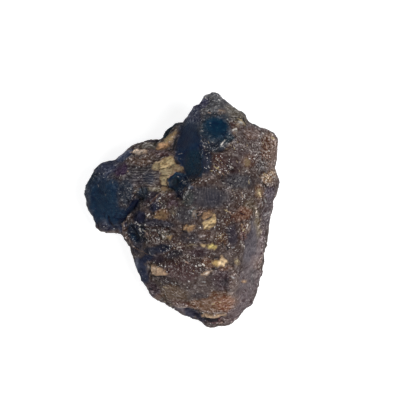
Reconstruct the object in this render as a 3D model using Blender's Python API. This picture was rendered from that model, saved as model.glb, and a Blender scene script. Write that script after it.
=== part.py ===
"""A rough sapphire: one broken lump of corundum, lying on the flat parting face under it.

The stone is surveyed in its own leaning frame: u runs right, v runs up the stone from its blunt
foot to its tip, and w stands out of its best face. All survey figures are in millimetres. The
stone then leans back by LEAN about X, so that it lies on its flat underside with +Z up and the
origin in the middle of that resting face.
"""

import math

import bmesh
import bpy
import numpy as np
from mathutils import Matrix, Vector, noise
from mathutils.bvhtree import BVHTree
from mathutils.geometry import delaunay_2d_cdt

MM = 0.001
LEAN = math.radians(10.0)  # how far the best face tips forward from facing straight up
MIDDLE = (-0.1, -2.4)  # where the middle of the laid stone's length and width is, before it is moved
CENTRE = (2.0, 2.5)  # every line of sight from here meets the outline once
REACH = 1.12  # how far past the outline, as a share of its radius, the relief is carried
EDGE_RISE = 3.0  # height of the relief over the outline's own height there

SPHERE_LEVEL = 6  # subdivisions of the icosphere that the stone is drawn over
GRAIN = 0.42 * MM  # voxel of the even mesh that the small forms are cut in
WEAR_STEPS = 4  # rounds of smoothing of each mesh
TRIANGLES = 9200  # of the finished solid
CREASE = 0.3  # how far each crease of the relief is worn round, in mm
FRONT_ROUNDING = (8.0, 0.5)  # powers of the profile that turns the face down to the outline
BACK_ROUNDING = (6.0, 0.5)

STONE_COLOUR = (0.085, 0.066, 0.060, 1.0)
STONE_ROUGHNESS = 0.5

# (u, v, w) of the widest line round the stone, clockwise from the tip.
OUTLINE = [
    (7.0, 29.2, 17.0), (8.3, 29.2, 17.0), (9.5, 28.5, 17.0), (10.5, 27.7, 17.0), (12.0, 27.0, 17.0),
    (12.8, 25.7, 17.0), (13.8, 25.0, 17.0), (15.3, 24.2, 17.0), (16.3, 22.7, 17.0), (17.5, 21.7, 17.0),
    (19.0, 21.0, 16.5), (20.5, 20.5, 16.0), (22.0, 20.0, 15.5), (23.0, 19.2, 15.0), (23.6, 17.7, 15.0),
    (24.0, 16.2, 14.5), (24.0, 14.2, 14.0), (23.8, 12.5, 14.0), (23.3, 10.7, 14.0), (23.5, 9.5, 14.0),
    (24.0, 8.0, 14.0), (23.8, 5.7, 14.0), (23.3, 3.5, 14.0), (22.8, 2.2, 13.5), (23.0, 1.0, 13.5),
    (22.7, -0.5, 13.0), (22.2, -2.7, 13.0), (21.8, -5.2, 13.0), (21.0, -7.5, 12.5), (20.5, -10.0, 12.0),
    (20.0, -13.0, 12.0), (19.5, -16.2, 12.0), (19.3, -20.0, 12.0), (18.5, -21.5, 12.0),
    (17.3, -23.2, 12.0), (16.0, -25.2, 12.0), (14.8, -26.2, 12.0), (14.0, -27.5, 12.0),
    (12.0, -28.6, 12.0), (9.5, -29.1, 12.0), (7.0, -29.1, 12.0), (5.7, -28.6, 12.0),
    (4.3, -27.8, 11.5), (3.0, -27.2, 11.5), (0.3, -26.3, 11.0), (-1.3, -25.3, 11.0),
    (-2.5, -24.2, 11.0), (-3.8, -23.6, 11.0),
    (-5.5, -23.0, 11.0), (-7.5, -21.5, 11.0), (-8.7, -20.0, 11.0), (-9.8, -18.7, 11.0),
    (-10.5, -17.2, 11.0), (-11.0, -15.5, 11.0), (-11.4, -12.5, 11.5), (-12.0, -11.0, 12.0),
    (-12.8, -9.8, 12.0), (-13.5, -8.3, 12.0), (-14.3, -7.0, 11.5), (-15.5, -6.1, 10.0),
    (-17.3, -6.0, 9.0), (-19.0, -6.0, 8.5), (-20.5, -5.3, 8.5), (-21.5, -4.1, 8.5), (-22.5, -2.5, 8.5),
    (-23.5, -0.5, 8.5), (-24.0, 3.2, 9.0), (-24.0, 5.5, 9.0), (-23.4, 7.6, 9.5), (-22.5, 9.3, 10.0),
    (-21.3, 11.0, 10.5), (-19.8, 12.2, 11.0), (-18.7, 12.5, 11.5), (-17.5, 12.5, 12.0),
    (-16.8, 13.0, 12.0), (-15.5, 13.3, 12.0), (-12.8, 15.2, 12.5), (-11.3, 16.4, 13.0),
    (-9.3, 16.8, 13.0), (-7.8, 17.5, 12.0), (-5.3, 17.5, 12.0), (-4.7, 18.2, 11.0), (-4.0, 19.8, 10.5),
    (-3.0, 20.7, 10.5), (-2.0, 21.7, 10.5), (-1.2, 22.0, 11.0), (0.3, 21.8, 13.0), (0.8, 22.8, 15.0),
    (1.3, 24.0, 16.0), (2.0, 25.0, 16.5), (2.8, 26.0, 17.0), (4.3, 26.8, 17.0), (5.1, 27.6, 17.0),
    (5.6, 28.9, 17.0),
]  # fmt: skip

# Lines along which the best face breaks, each as (u, v, w) points.
FRONT_LINES = {
    "crest over the cliff": [
        (6.3, 28.0, 20.0), (4.5, 25.5, 23.0), (4.3, 22.5, 26.0), (4.8, 19.5, 28.0), (5.5, 16.2, 29.5),
        (5.8, 13.0, 30.0), (5.3, 10.0, 30.0), (4.0, 7.7, 29.5), (2.0, 6.2, 28.5), (0.5, 3.5, 28.0),
        (-0.3, 0.5, 27.0),
    ],
    "foot of the cliff": [
        (0.9, 21.8, 17.0), (-0.5, 19.7, 18.5), (-1.3, 17.2, 19.8), (-1.5, 14.7, 20.8), (-1.0, 12.5, 21.5),
        (0.5, 10.7, 22.0), (1.8, 9.2, 22.5), (1.0, 7.0, 22.3), (-0.3, 5.0, 21.8), (-0.8, 3.2, 22.5),
    ],
    "rim of the glassy window": [
        (6.8, 23.2, 25.6), (10.0, 23.3, 25.2), (11.8, 21.7, 26.0), (11.8, 19.5, 27.2), (10.0, 17.7, 28.2),
        (7.5, 17.5, 28.6), (6.0, 19.0, 28.3), (5.8, 21.5, 27.0), (6.8, 23.2, 25.6),
    ],
    "ridge of the shoulder": [
        (13.5, 23.0, 22.5), (14.5, 21.5, 25.0), (16.5, 18.7, 26.3), (19.0, 18.0, 24.5), (21.3, 17.3, 20.5),
    ],
    "edge of the right flank": [
        (20.0, 5.0, 24.5), (18.5, 1.2, 25.5), (16.8, -2.0, 26.8), (15.5, -5.0, 27.3), (15.0, -8.7, 27.3),
        (14.5, -12.5, 26.8), (13.5, -16.2, 26.2), (12.8, -20.0, 25.0), (13.3, -23.2, 22.0),
        (12.3, -25.7, 18.5),
    ],
    "far edge of the flank": [
        (21.0, 0.7, 20.0), (19.6, -3.0, 21.0), (19.5, -7.5, 19.5), (18.7, -11.7, 18.5),
        (18.0, -16.2, 17.0), (17.0, -19.7, 16.0),
    ],
    "rim of the left step": [
        (-11.0, -9.8, 18.0), (-7.5, -10.7, 21.5), (-4.3, -10.5, 23.5), (-1.0, -11.5, 25.0),
        (2.0, -12.2, 26.2),
    ],
    "foot of the left step": [
        (-10.7, -11.4, 15.5), (-7.5, -12.2, 17.8), (-4.3, -12.1, 20.2), (-1.0, -13.1, 22.6),
        (2.0, -13.9, 24.8),
    ],
    "lower band": [
        (-5.5, -20.7, 17.0), (-1.0, -21.7, 20.0), (3.3, -21.5, 22.5), (7.5, -20.2, 24.3),
        (11.0, -19.2, 25.2),
    ],
    "lip over the foot": [
        (-3.5, -22.9, 14.5), (-0.5, -24.3, 16.0), (2.0, -24.9, 17.0), (4.0, -25.6, 17.3),
        (5.3, -26.8, 17.0), (7.5, -27.2, 16.8), (10.0, -26.8, 17.2),
    ],
    "under the lip": [
        (-0.7, -25.1, 12.5), (2.0, -25.8, 12.5), (4.1, -26.5, 12.0), (5.5, -27.7, 11.5),
        (7.5, -28.1, 11.0), (10.0, -27.8, 11.5),
    ],
    "groove behind the lobe": [
        (-9.8, 5.0, 18.8), (-10.8, 3.2, 17.2), (-12.0, 1.2, 15.8), (-13.3, -0.7, 14.0),
        (-14.5, -2.7, 12.0), (-15.2, -5.0, 10.5),
    ],
    "ridge beside the groove": [
        (-8.0, 3.2, 21.5), (-9.3, 0.7, 20.7), (-10.8, -1.5, 19.0), (-12.6, -3.0, 16.2),
        (-13.5, -5.0, 14.0),
    ],
    "turn of the lobe": [
        (-17.0, 11.3, 16.0), (-15.3, 9.5, 19.0), (-14.5, 6.5, 20.0), (-13.8, 3.5, 19.6),
        (-13.6, 1.5, 18.4),
    ],
    "pale wedge": [
        (-6.5, 15.3, 19.6), (-4.3, 16.6, 20.6), (-2.5, 18.2, 20.4), (-1.2, 19.7, 19.2),
    ],
    "behind the wedge": [
        (-5.6, 16.8, 14.5), (-3.7, 18.4, 13.6), (-2.3, 20.0, 13.2), (-0.8, 21.0, 14.0),
    ],
}  # fmt: skip

# Single heights (u, v, w) between those lines.
FRONT_SPOTS = [
    # the tip and the window
    (7.5, 27.5, 20.5), (10.7, 25.5, 21.5), (7.5, 25.2, 24.0), (2.5, 23.7, 20.0), (8.7, 20.7, 26.2),
    # the shoulder and the ground below it
    (14.5, 15.0, 28.5), (18.3, 13.7, 27.0), (21.5, 13.7, 22.5), (10.7, 15.0, 29.3), (8.3, 12.5, 30.0),
    (12.5, 10.5, 29.2), (17.0, 10.0, 28.0), (20.7, 10.5, 23.5), (21.5, 8.0, 22.8), (19.0, 6.7, 26.0),
    # the smooth plateau
    (5.8, 5.0, 30.8), (10.0, 6.2, 30.8), (13.3, 5.0, 30.2), (8.3, 1.2, 30.5), (3.3, 1.2, 29.6),
    (17.0, 3.7, 28.3),
    # the lower face
    (6.3, -2.7, 29.8), (10.7, -3.0, 29.6), (13.3, -6.2, 28.6), (2.0, -4.2, 28.6), (7.8, -9.0, 28.8),
    (3.3, -8.7, 27.8), (9.8, -12.7, 28.3), (4.5, -13.5, 27.0), (6.5, -15.5, 27.2), (4.5, -17.0, 25.6),
    (9.0, -17.0, 26.4), (-0.5, -18.2, 22.6), (-4.3, -18.7, 19.4), (-8.0, -18.2, 16.0),
    (-8.5, -13.7, 17.6), (-6.0, -14.2, 20.2), (-3.5, -15.3, 21.6), (-6.0, -16.3, 20.4),
    (7.0, -23.5, 21.0), (2.0, -23.3, 19.0), (10.5, -23.0, 22.0),
    # the left of the face
    (-10.3, -4.5, 19.5), (-8.0, -7.0, 21.7), (-11.2, -8.2, 17.6), (-6.7, -3.7, 23.0), (-3.5, -3.0, 25.2),
    (-4.3, -7.0, 24.4), (-1.0, -7.5, 26.2), (-6.7, -0.5, 22.8), (-3.0, 0.5, 24.6),
    # the lobe
    (-19.3, 8.0, 16.5), (-21.2, 5.0, 14.5), (-21.7, 1.2, 13.0), (-19.3, 1.2, 15.6), (-16.7, 2.5, 18.2),
    (-16.0, -0.5, 15.8), (-18.5, -2.5, 13.0), (-17.3, -4.5, 10.8), (-17.3, 6.5, 18.2),
    # the top of the lobe and the ground behind it
    (-13.5, 13.2, 15.5), (-10.5, 14.5, 17.3), (-8.0, 15.6, 18.2), (-11.8, 11.7, 19.7), (-8.0, 12.5, 21.0),
    (-9.3, 9.5, 21.3), (-6.7, 7.5, 21.6), (-8.0, 5.5, 21.0), (-4.7, 11.7, 22.3), (-4.0, 8.7, 22.3),
    (-1.8, 6.5, 19.8), (-3.2, 6.7, 20.8), (-4.3, 4.2, 22.3), (-2.5, 2.7, 23.2), (-6.0, 14.0, 20.2),
    (-3.0, 15.0, 20.6), (-11.8, 7.0, 20.8),
]  # fmt: skip

# (u, v, z) of the underside, with z as the height over the ground once the stone lies down.
BACK_SPOTS = [
    (2.0, 2.0, -2.2), (9.0, 6.0, -1.8), (-5.0, 4.0, -1.6), (4.0, -7.0, -1.8), (12.0, -4.0, -0.9),
    (-3.0, -8.0, -1.0), (6.0, 12.0, 0.8), (14.0, 10.0, 1.6), (8.0, 20.0, 7.0), (17.0, 16.0, 6.0),
    (19.0, 3.0, 3.6), (-2.0, 13.0, 2.2), (-12.0, 8.0, 1.6), (-12.0, 1.0, 0.9), (-19.0, 5.0, 3.4),
    (-18.0, -2.0, 3.8), (-9.0, -8.0, 3.4), (-5.0, -16.0, 2.2), (5.0, -17.0, 0.2), (13.0, -14.0, 1.2),
    (9.0, -23.0, 0.6), (0.0, -22.0, 2.6), (16.0, -20.0, 3.4), (2.0, 20.0, 7.5),
]  # fmt: skip
BACK_EDGE_DROP = 5.0  # how far the underside starts below the outline

# Faces that the stone has split along, each as the (u, v) corners of its area on the best face.
CLEAVED_FACES = {
    "glassy window": [(6.9, 22.9), (9.8, 23.1), (11.6, 21.5), (11.6, 19.6), (9.9, 18.0), (7.6, 17.8),
                      (6.2, 19.1), (6.0, 21.4)],
    "upper cliff": [(1.0, 21.6), (3.4, 24.6), (4.0, 22.3), (4.6, 19.5), (5.2, 16.2), (1.0, 15.6),
                    (-1.0, 16.6), (-0.2, 19.6)],
    "lower cliff": [(1.0, 15.2), (5.2, 15.8), (5.5, 13.0), (5.0, 10.2), (3.6, 8.0), (2.2, 8.8),
                    (0.8, 10.9), (-0.8, 12.6)],
    "plateau": [(1.0, 5.0), (4.5, 7.0), (9.5, 7.4), (12.5, 5.5), (11.5, 2.0), (7.5, 0.2), (2.0, -0.4),
                (0.2, 2.0)],
    "upper flank": [(18.2, 0.2), (20.4, -0.4), (19.2, -3.4), (19.2, -7.6), (15.8, -8.0), (16.2, -4.8)],
    "lower flank": [(15.6, -8.8), (18.9, -8.6), (18.2, -13.0), (17.4, -18.8), (13.6, -19.4),
                    (14.2, -15.8), (15.0, -12.4)],
    "roof of the lobe": [(-14.4, 11.8), (-10.5, 14.0), (-7.4, 14.4), (-5.2, 11.8), (-7.0, 7.8),
                         (-11.5, 6.8), (-14.0, 8.4)],
    "left side": [(-10.4, -12.6), (-8.6, -12.6), (-6.6, -14.2), (-7.0, -18.6), (-9.0, -17.6),
                  (-10.2, -15.4)],
    "foot": [(-3.6, -21.8), (2.8, -22.4), (6.8, -22.0), (6.8, -25.8), (4.0, -25.0), (-1.0, -23.8)],
}  # fmt: skip
CLEAVED_SHARE = 0.85  # of the way to flat

# Lumps of the skin: (wavelength, height), in mm.
LUMPS = [(8.0, 0.7), (3.6, 0.45)]
FACETS = 1200  # broken faces all over the stone
FACET_SHARE = 0.6  # how far the skin is pulled onto them
# Ledges where the parting planes come out: (direction across them, spacing in mm, height in mm).
LEDGES = [((0.10, 0.97, 0.20), 2.6, 0.38), ((0.93, -0.12, 0.34), 3.4, 0.20)]
LEDGE_WANDER = (6.0, 1.6)  # wavelength and size of the bends of the ledges, in mm


def along_outline(angles):
    """Where the outline passes at each angle round CENTRE: (u, v) points, and their heights w."""
    line = np.array(OUTLINE)
    bearing = np.arctan2(line[:, 1] - CENTRE[1], line[:, 0] - CENTRE[0])
    order = np.argsort(bearing)
    around = [np.interp(angles, bearing[order], line[order, k], period=2 * math.pi) for k in range(3)]
    return np.stack(around[:2], axis=1), around[2]


def carried_past(height_change):
    """The outline moved out to REACH, to close a relief beyond the stone's own edge."""
    return [
        (
            CENTRE[0] + REACH * (u - CENTRE[0]),
            CENTRE[1] + REACH * (v - CENTRE[1]),
            w + height_change,
        )
        for u, v, w in OUTLINE
    ]


def relief(lines, spots):
    """A triangulated surface through break lines and spot heights, for reading heights off."""
    points, edges = [], []
    for line in lines:
        edges += [(len(points) + k, len(points) + k + 1) for k in range(len(line) - 1)]
        points += line
    points += spots
    flat = [Vector(p[:2]) for p in points]
    _, _, faces, origins, *_ = delaunay_2d_cdt(flat, edges, [], 0, 0.01)
    corners = [Vector((*points[found[0]][:2], points[found[0]][2])) for found in origins]
    return BVHTree.FromPolygons(corners, faces)


def heights(surface, places):
    """Heights of a relief at (u, v) places, each the mean of a small ring, which wears creases round."""
    ring = [(0.0, 0.0)] + [
        (CREASE * math.cos(k * math.pi / 3), CREASE * math.sin(k * math.pi / 3)) for k in range(6)
    ]
    read = np.zeros(len(places))
    down = Vector((0, 0, -1))
    for du, dv in ring:
        read += [surface.ray_cast(Vector((u + du, v + dv, 100)), down)[0].z for u, v in places]
    return read / len(ring)


def back_point(u, v, z):
    """An underside survey point with its height over the ground turned into w."""
    return (u, v, (z - v * math.sin(LEAN)) / math.cos(LEAN))


def stone_points(directions):
    """Where each direction of a unit sphere falls on the stone, in the survey frame."""
    reach = np.hypot(directions[:, 0], directions[:, 1]).clip(0, 1)
    rim, edge = along_outline(np.arctan2(directions[:, 1], directions[:, 0]))
    places = np.array(CENTRE) + reach[:, None] * (rim - np.array(CENTRE))
    front = relief([*FRONT_LINES.values(), carried_past(EDGE_RISE)], FRONT_SPOTS)
    back = relief([carried_past(-BACK_EDGE_DROP)], [back_point(*spot) for spot in BACK_SPOTS])
    w = np.empty(len(directions))
    for surface, (sharp, power), side in (
        (front, FRONT_ROUNDING, directions[:, 2] >= 0),
        (back, BACK_ROUNDING, directions[:, 2] < 0),
    ):
        profile = (1 - reach[side] ** sharp).clip(0, 1) ** power
        w[side] = edge[side] + (heights(surface, places[side]) - edge[side]) * profile
    return np.column_stack([places, w])


def new_object(name, mesh):
    obj = bpy.data.objects.new(name, mesh)
    bpy.context.scene.collection.objects.link(obj)
    return obj


def with_modifier(obj, kind, **settings):
    """Gives the object the mesh that one modifier makes of it."""
    modifier = obj.modifiers.new(kind.title(), kind)
    for key, value in settings.items():
        setattr(modifier, key, value)
    graph = bpy.context.evaluated_depsgraph_get()
    made = bpy.data.meshes.new_from_object(obj.evaluated_get(graph))
    obj.modifiers.clear()
    obj.data = made


def draw_stone():
    """The stone as an even mesh in the survey frame, in metres."""
    mesh = bpy.data.meshes.new("rough_sapphire")
    ball = bmesh.new()
    bmesh.ops.create_icosphere(ball, subdivisions=SPHERE_LEVEL, radius=1)
    directions = np.array([vert.co for vert in ball.verts])
    for vert, point in zip(ball.verts, stone_points(directions) * MM, strict=True):
        vert.co = point
    ball.to_mesh(mesh)
    ball.free()
    stone = new_object("rough_sapphire", mesh)
    with_modifier(stone, "REMESH", mode="VOXEL", voxel_size=GRAIN)
    with_modifier(stone, "SMOOTH", factor=0.5, iterations=WEAR_STEPS)
    return stone


def skin(mesh):
    """The points of a mesh in millimetres, and their normals."""
    points = np.array([vert.co for vert in mesh.vertices]) / MM
    return points, np.array([vert.normal for vert in mesh.vertices])


def set_points(mesh, points):
    mesh.vertices.foreach_set("co", (points * MM).ravel())
    mesh.update()


def raise_lumps(mesh):
    """Pushes the skin in and out along its normals in lumps of several sizes."""
    points, normals = skin(mesh)
    push = [sum(high * noise.noise(Vector(p) / wide) for wide, high in LUMPS) for p in points]
    set_points(mesh, points + normals * np.array(push)[:, None])


def inside(corners, places):
    """Which (u, v) places lie inside a polygon."""
    crossings = np.zeros(len(places), int)
    for (u0, v0), (u1, v1) in zip(corners, corners[1:] + corners[:1], strict=True):
        spans = (v0 > places[:, 1]) != (v1 > places[:, 1])
        meets = u0 + (u1 - u0) * (places[:, 1] - v0) / ((v1 - v0) or 1e-9)
        crossings += spans & (places[:, 0] < meets)
    return crossings % 2 == 1


def cleave(mesh):
    """Moves each of the faces that the stone has split along most of the way onto its own plane."""
    points, normals = skin(mesh)
    for corners in CLEAVED_FACES.values():
        face = inside(corners, points[:, :2]) & (normals[:, 2] > 0.05)
        facing = normals[face].mean(axis=0)
        facing /= np.linalg.norm(facing)
        off = (points[face] - points[face].mean(axis=0)) @ facing
        points[face] -= CLEAVED_SHARE * off[:, None] * facing
    set_points(mesh, points)


def break_into_facets(stone):
    """Pulls the skin towards a coarse copy of the stone, whose few faces are flat."""
    coarse = new_object("facets", stone.data.copy())
    with_modifier(coarse, "DECIMATE", ratio=FACETS / (2 * len(coarse.data.polygons)))
    faces = BVHTree.FromObject(coarse, bpy.context.evaluated_depsgraph_get())
    for vert in stone.data.vertices:
        vert.co = vert.co.lerp(faces.find_nearest(vert.co)[0], FACET_SHARE)
    bpy.data.objects.remove(coarse)
    stone.data.update()


def step_ledges(mesh):
    """Steps the skin where the parting planes of the crystal come out of it."""
    points, normals = skin(mesh)
    wavelength, size = LEDGE_WANDER
    wander = np.array([noise.noise_vector(Vector(p) / wavelength) for p in points]) * size
    patches = np.array([noise.noise(Vector(p) / wavelength) for p in points]) * 2.5
    for (across, spacing, height), side in zip(LEDGES, (1, -1), strict=True):
        phase = ((points + wander) @ np.array(across) / spacing) % 1.0
        steps = np.where(phase < 0.8, phase / 0.8, (1 - phase) / 0.2) - 0.5
        slope = 1 - (normals @ np.array(across)) ** 2
        push = height * steps * slope * (0.3 + side * patches).clip(0, 1)
        points = points + normals * push[:, None]
    set_points(mesh, points)


def cut_resting_face(mesh):
    """Cuts the stone off flat at the ground."""
    cut = bmesh.new()
    cut.from_mesh(mesh)
    everything = [*cut.verts, *cut.edges, *cut.faces]
    bmesh.ops.bisect_plane(
        cut, geom=everything, dist=1e-7, plane_co=(0, 0, 0), plane_no=(0, 0, -1), clear_outer=True
    )
    rim = [edge for edge in cut.edges if edge.is_boundary]
    bmesh.ops.edgeloop_fill(cut, edges=rim)
    bmesh.ops.triangulate(cut, faces=[face for face in cut.faces if len(face.verts) > 3])
    bmesh.ops.recalc_face_normals(cut, faces=cut.faces)
    cut.to_mesh(mesh)
    cut.free()


def stone_material():
    material = bpy.data.materials.new("rough_corundum")
    material.use_nodes = True
    shader = material.node_tree.nodes["Principled BSDF"]
    shader.inputs["Base Color"].default_value = STONE_COLOUR
    shader.inputs["Roughness"].default_value = STONE_ROUGHNESS
    shader.inputs["Metallic"].default_value = 0.0
    return material


def build():
    for obj in list(bpy.data.objects):
        bpy.data.objects.remove(obj)
    stone = draw_stone()
    raise_lumps(stone.data)
    break_into_facets(stone)
    cleave(stone.data)
    step_ledges(stone.data)
    with_modifier(stone, "REMESH", mode="VOXEL", voxel_size=GRAIN)
    with_modifier(stone, "SMOOTH", factor=0.5, iterations=1)
    with_modifier(stone, "DECIMATE", ratio=TRIANGLES / (2 * len(stone.data.polygons)))
    laid = Matrix.Translation((-MIDDLE[0] * MM, -MIDDLE[1] * MM, 0)) @ Matrix.Rotation(LEAN, 4, "X")
    stone.data.transform(laid)
    cut_resting_face(stone.data)
    stone.data.materials.clear()
    stone.data.materials.append(stone_material())


build()
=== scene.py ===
"""Looks of the rough sapphire: its broken skin, its minerals, the light and the camera.

Places on the stone are given as on its best face, in millimetres: u runs right and v runs up the
stone from its foot to its tip, and w stands out of that face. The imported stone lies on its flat
underside, leaning back by LEAN about X, with the origin in the middle of its resting plane. An
outline, line or stroke is written as u, v, u, v and so on.
"""

import math

import bpy
import numpy as np
from mathutils import Matrix, Vector, noise


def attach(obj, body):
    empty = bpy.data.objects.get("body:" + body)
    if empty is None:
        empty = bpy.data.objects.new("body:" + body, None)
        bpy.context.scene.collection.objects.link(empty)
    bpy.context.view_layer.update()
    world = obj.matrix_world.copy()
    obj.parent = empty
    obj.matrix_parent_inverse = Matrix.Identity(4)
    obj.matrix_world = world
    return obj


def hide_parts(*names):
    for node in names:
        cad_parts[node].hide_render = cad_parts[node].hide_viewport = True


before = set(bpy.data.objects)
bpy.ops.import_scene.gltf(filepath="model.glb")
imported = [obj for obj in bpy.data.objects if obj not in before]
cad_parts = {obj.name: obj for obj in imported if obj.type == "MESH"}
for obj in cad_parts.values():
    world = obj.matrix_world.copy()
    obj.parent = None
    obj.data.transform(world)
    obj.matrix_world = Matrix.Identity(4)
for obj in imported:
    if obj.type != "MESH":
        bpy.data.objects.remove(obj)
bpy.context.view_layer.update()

MM = 0.001
NODE = "rough_sapphire"
LEAN = math.radians(10.0)
COS, SIN = math.cos(LEAN), math.sin(LEAN)
MIDDLE = (-0.1, -2.4)  # how far the stone was moved when it was laid down, as the CAD has it
MESH_STEP = 0.297  # spacing of the skin's mesh, in mm
SEED = 21
noise.seed_set(SEED)  # or noise_vector would differ from run to run
OUTSIDE = -9.0  # a depth that stands for "nowhere near", in mm

# fmt: off
# -- Minerals of the best face ---------------------------------------------------------------

# Colours of the surface, as 8-bit sRGB. The pit colours are dark stone with painted shade, and the pale greys
# and lavenders of the right flank are partly dusty colour and partly painted sheen.
TONES = {
    "ground": (88, 78, 75), "dark ground": (66, 51, 46), "shoulder brown": (114, 104, 102),
    "smooth brown": (50, 31, 33), "speckled brown": (70, 49, 48), "purple brown": (54, 36, 30),
    "brown rose": (87, 69, 69), "grey brown": (90, 79, 76), "warm brown": (125, 109, 100),
    "gold brown": (86, 62, 51), "gold": (118, 94, 78), "orange brown": (123, 100, 86),
    "red brown": (136, 100, 82), "rust": (108, 79, 63), "wine": (90, 98, 120), "tan": (128, 120, 106),
    "tan olive": (94, 83, 70), "edge tan": (131, 112, 101), "pale edge": (136, 121, 114),
    "olive": (96, 96, 97), "olive low": (102, 86, 74), "crest olive": (123, 117, 109),
    "green grey": (58, 62, 62), "grey green": (74, 68, 68), "apex grey": (102, 102, 104),
    "apex violet": (58, 54, 96), "slate band": (74, 78, 98), "slate mid": (64, 63, 68),
    "pale slate": (90, 94, 94), "sea slate": (50, 72, 82), "slate violet": (52, 46, 50),
    "violet grey": (94, 86, 94), "char slate": (66, 78, 90), "char": (34, 25, 41),
    "dusk band": (66, 76, 94), "plateau": (60, 57, 62), "plateau core": (44, 42, 52),
    "roof grey": (74, 70, 72), "lobe speckle": (31, 39, 52), "lobe violet": (54, 60, 80),
    "slate blue": (94, 102, 124), "plum foot": (35, 34, 50), "dark plum": (74, 61, 65),
    "deep plum": (43, 36, 41), "mauve": (102, 82, 90), "indigo": (46, 44, 55), "pit shade navy": (3, 15, 46),
    "flank navy": (16, 30, 58), "navy": (14, 28, 48), "cliff navy": (3, 34, 62), "cliff teal": (0, 38, 56),
    "blue": (14, 46, 67), "deep teal": (12, 51, 74), "slate teal": (18, 38, 52), "ink teal": (6, 38, 50),
    "ink slate": (53, 51, 65), "ink purple": (3, 3, 48), "ink": (3, 3, 28), "umber": (112, 84, 54),
    "lobe blue": (16, 40, 62), "lobe teal": (6, 38, 60), "magenta": (59, 30, 70),
    "flank light": (110, 102, 104), "flank tan": (131, 119, 103), "flank slate": (90, 84, 90),
    "flank pink": (116, 103, 104), "flank lavender": (102, 92, 94), "flank low": (96, 84, 86),
    "foot grey": (98, 83, 84), "foot purple": (83, 52, 55), "bottom dark": (80, 68, 74),
    "ember": (125, 101, 82), "pit shade slate": (14, 22, 41), "dim teal": (38, 48, 60),
    "deep slate": (20, 26, 44), "ash slate": (106, 102, 102), "foot pale": (126, 108, 102),
    "pale brown": (115, 101, 96), "olive brown": (80, 51, 11), "brown wine": (118, 97, 94),
    "lobe rim": (70, 76, 88), "pale flake": (206, 186, 164),
}
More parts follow.
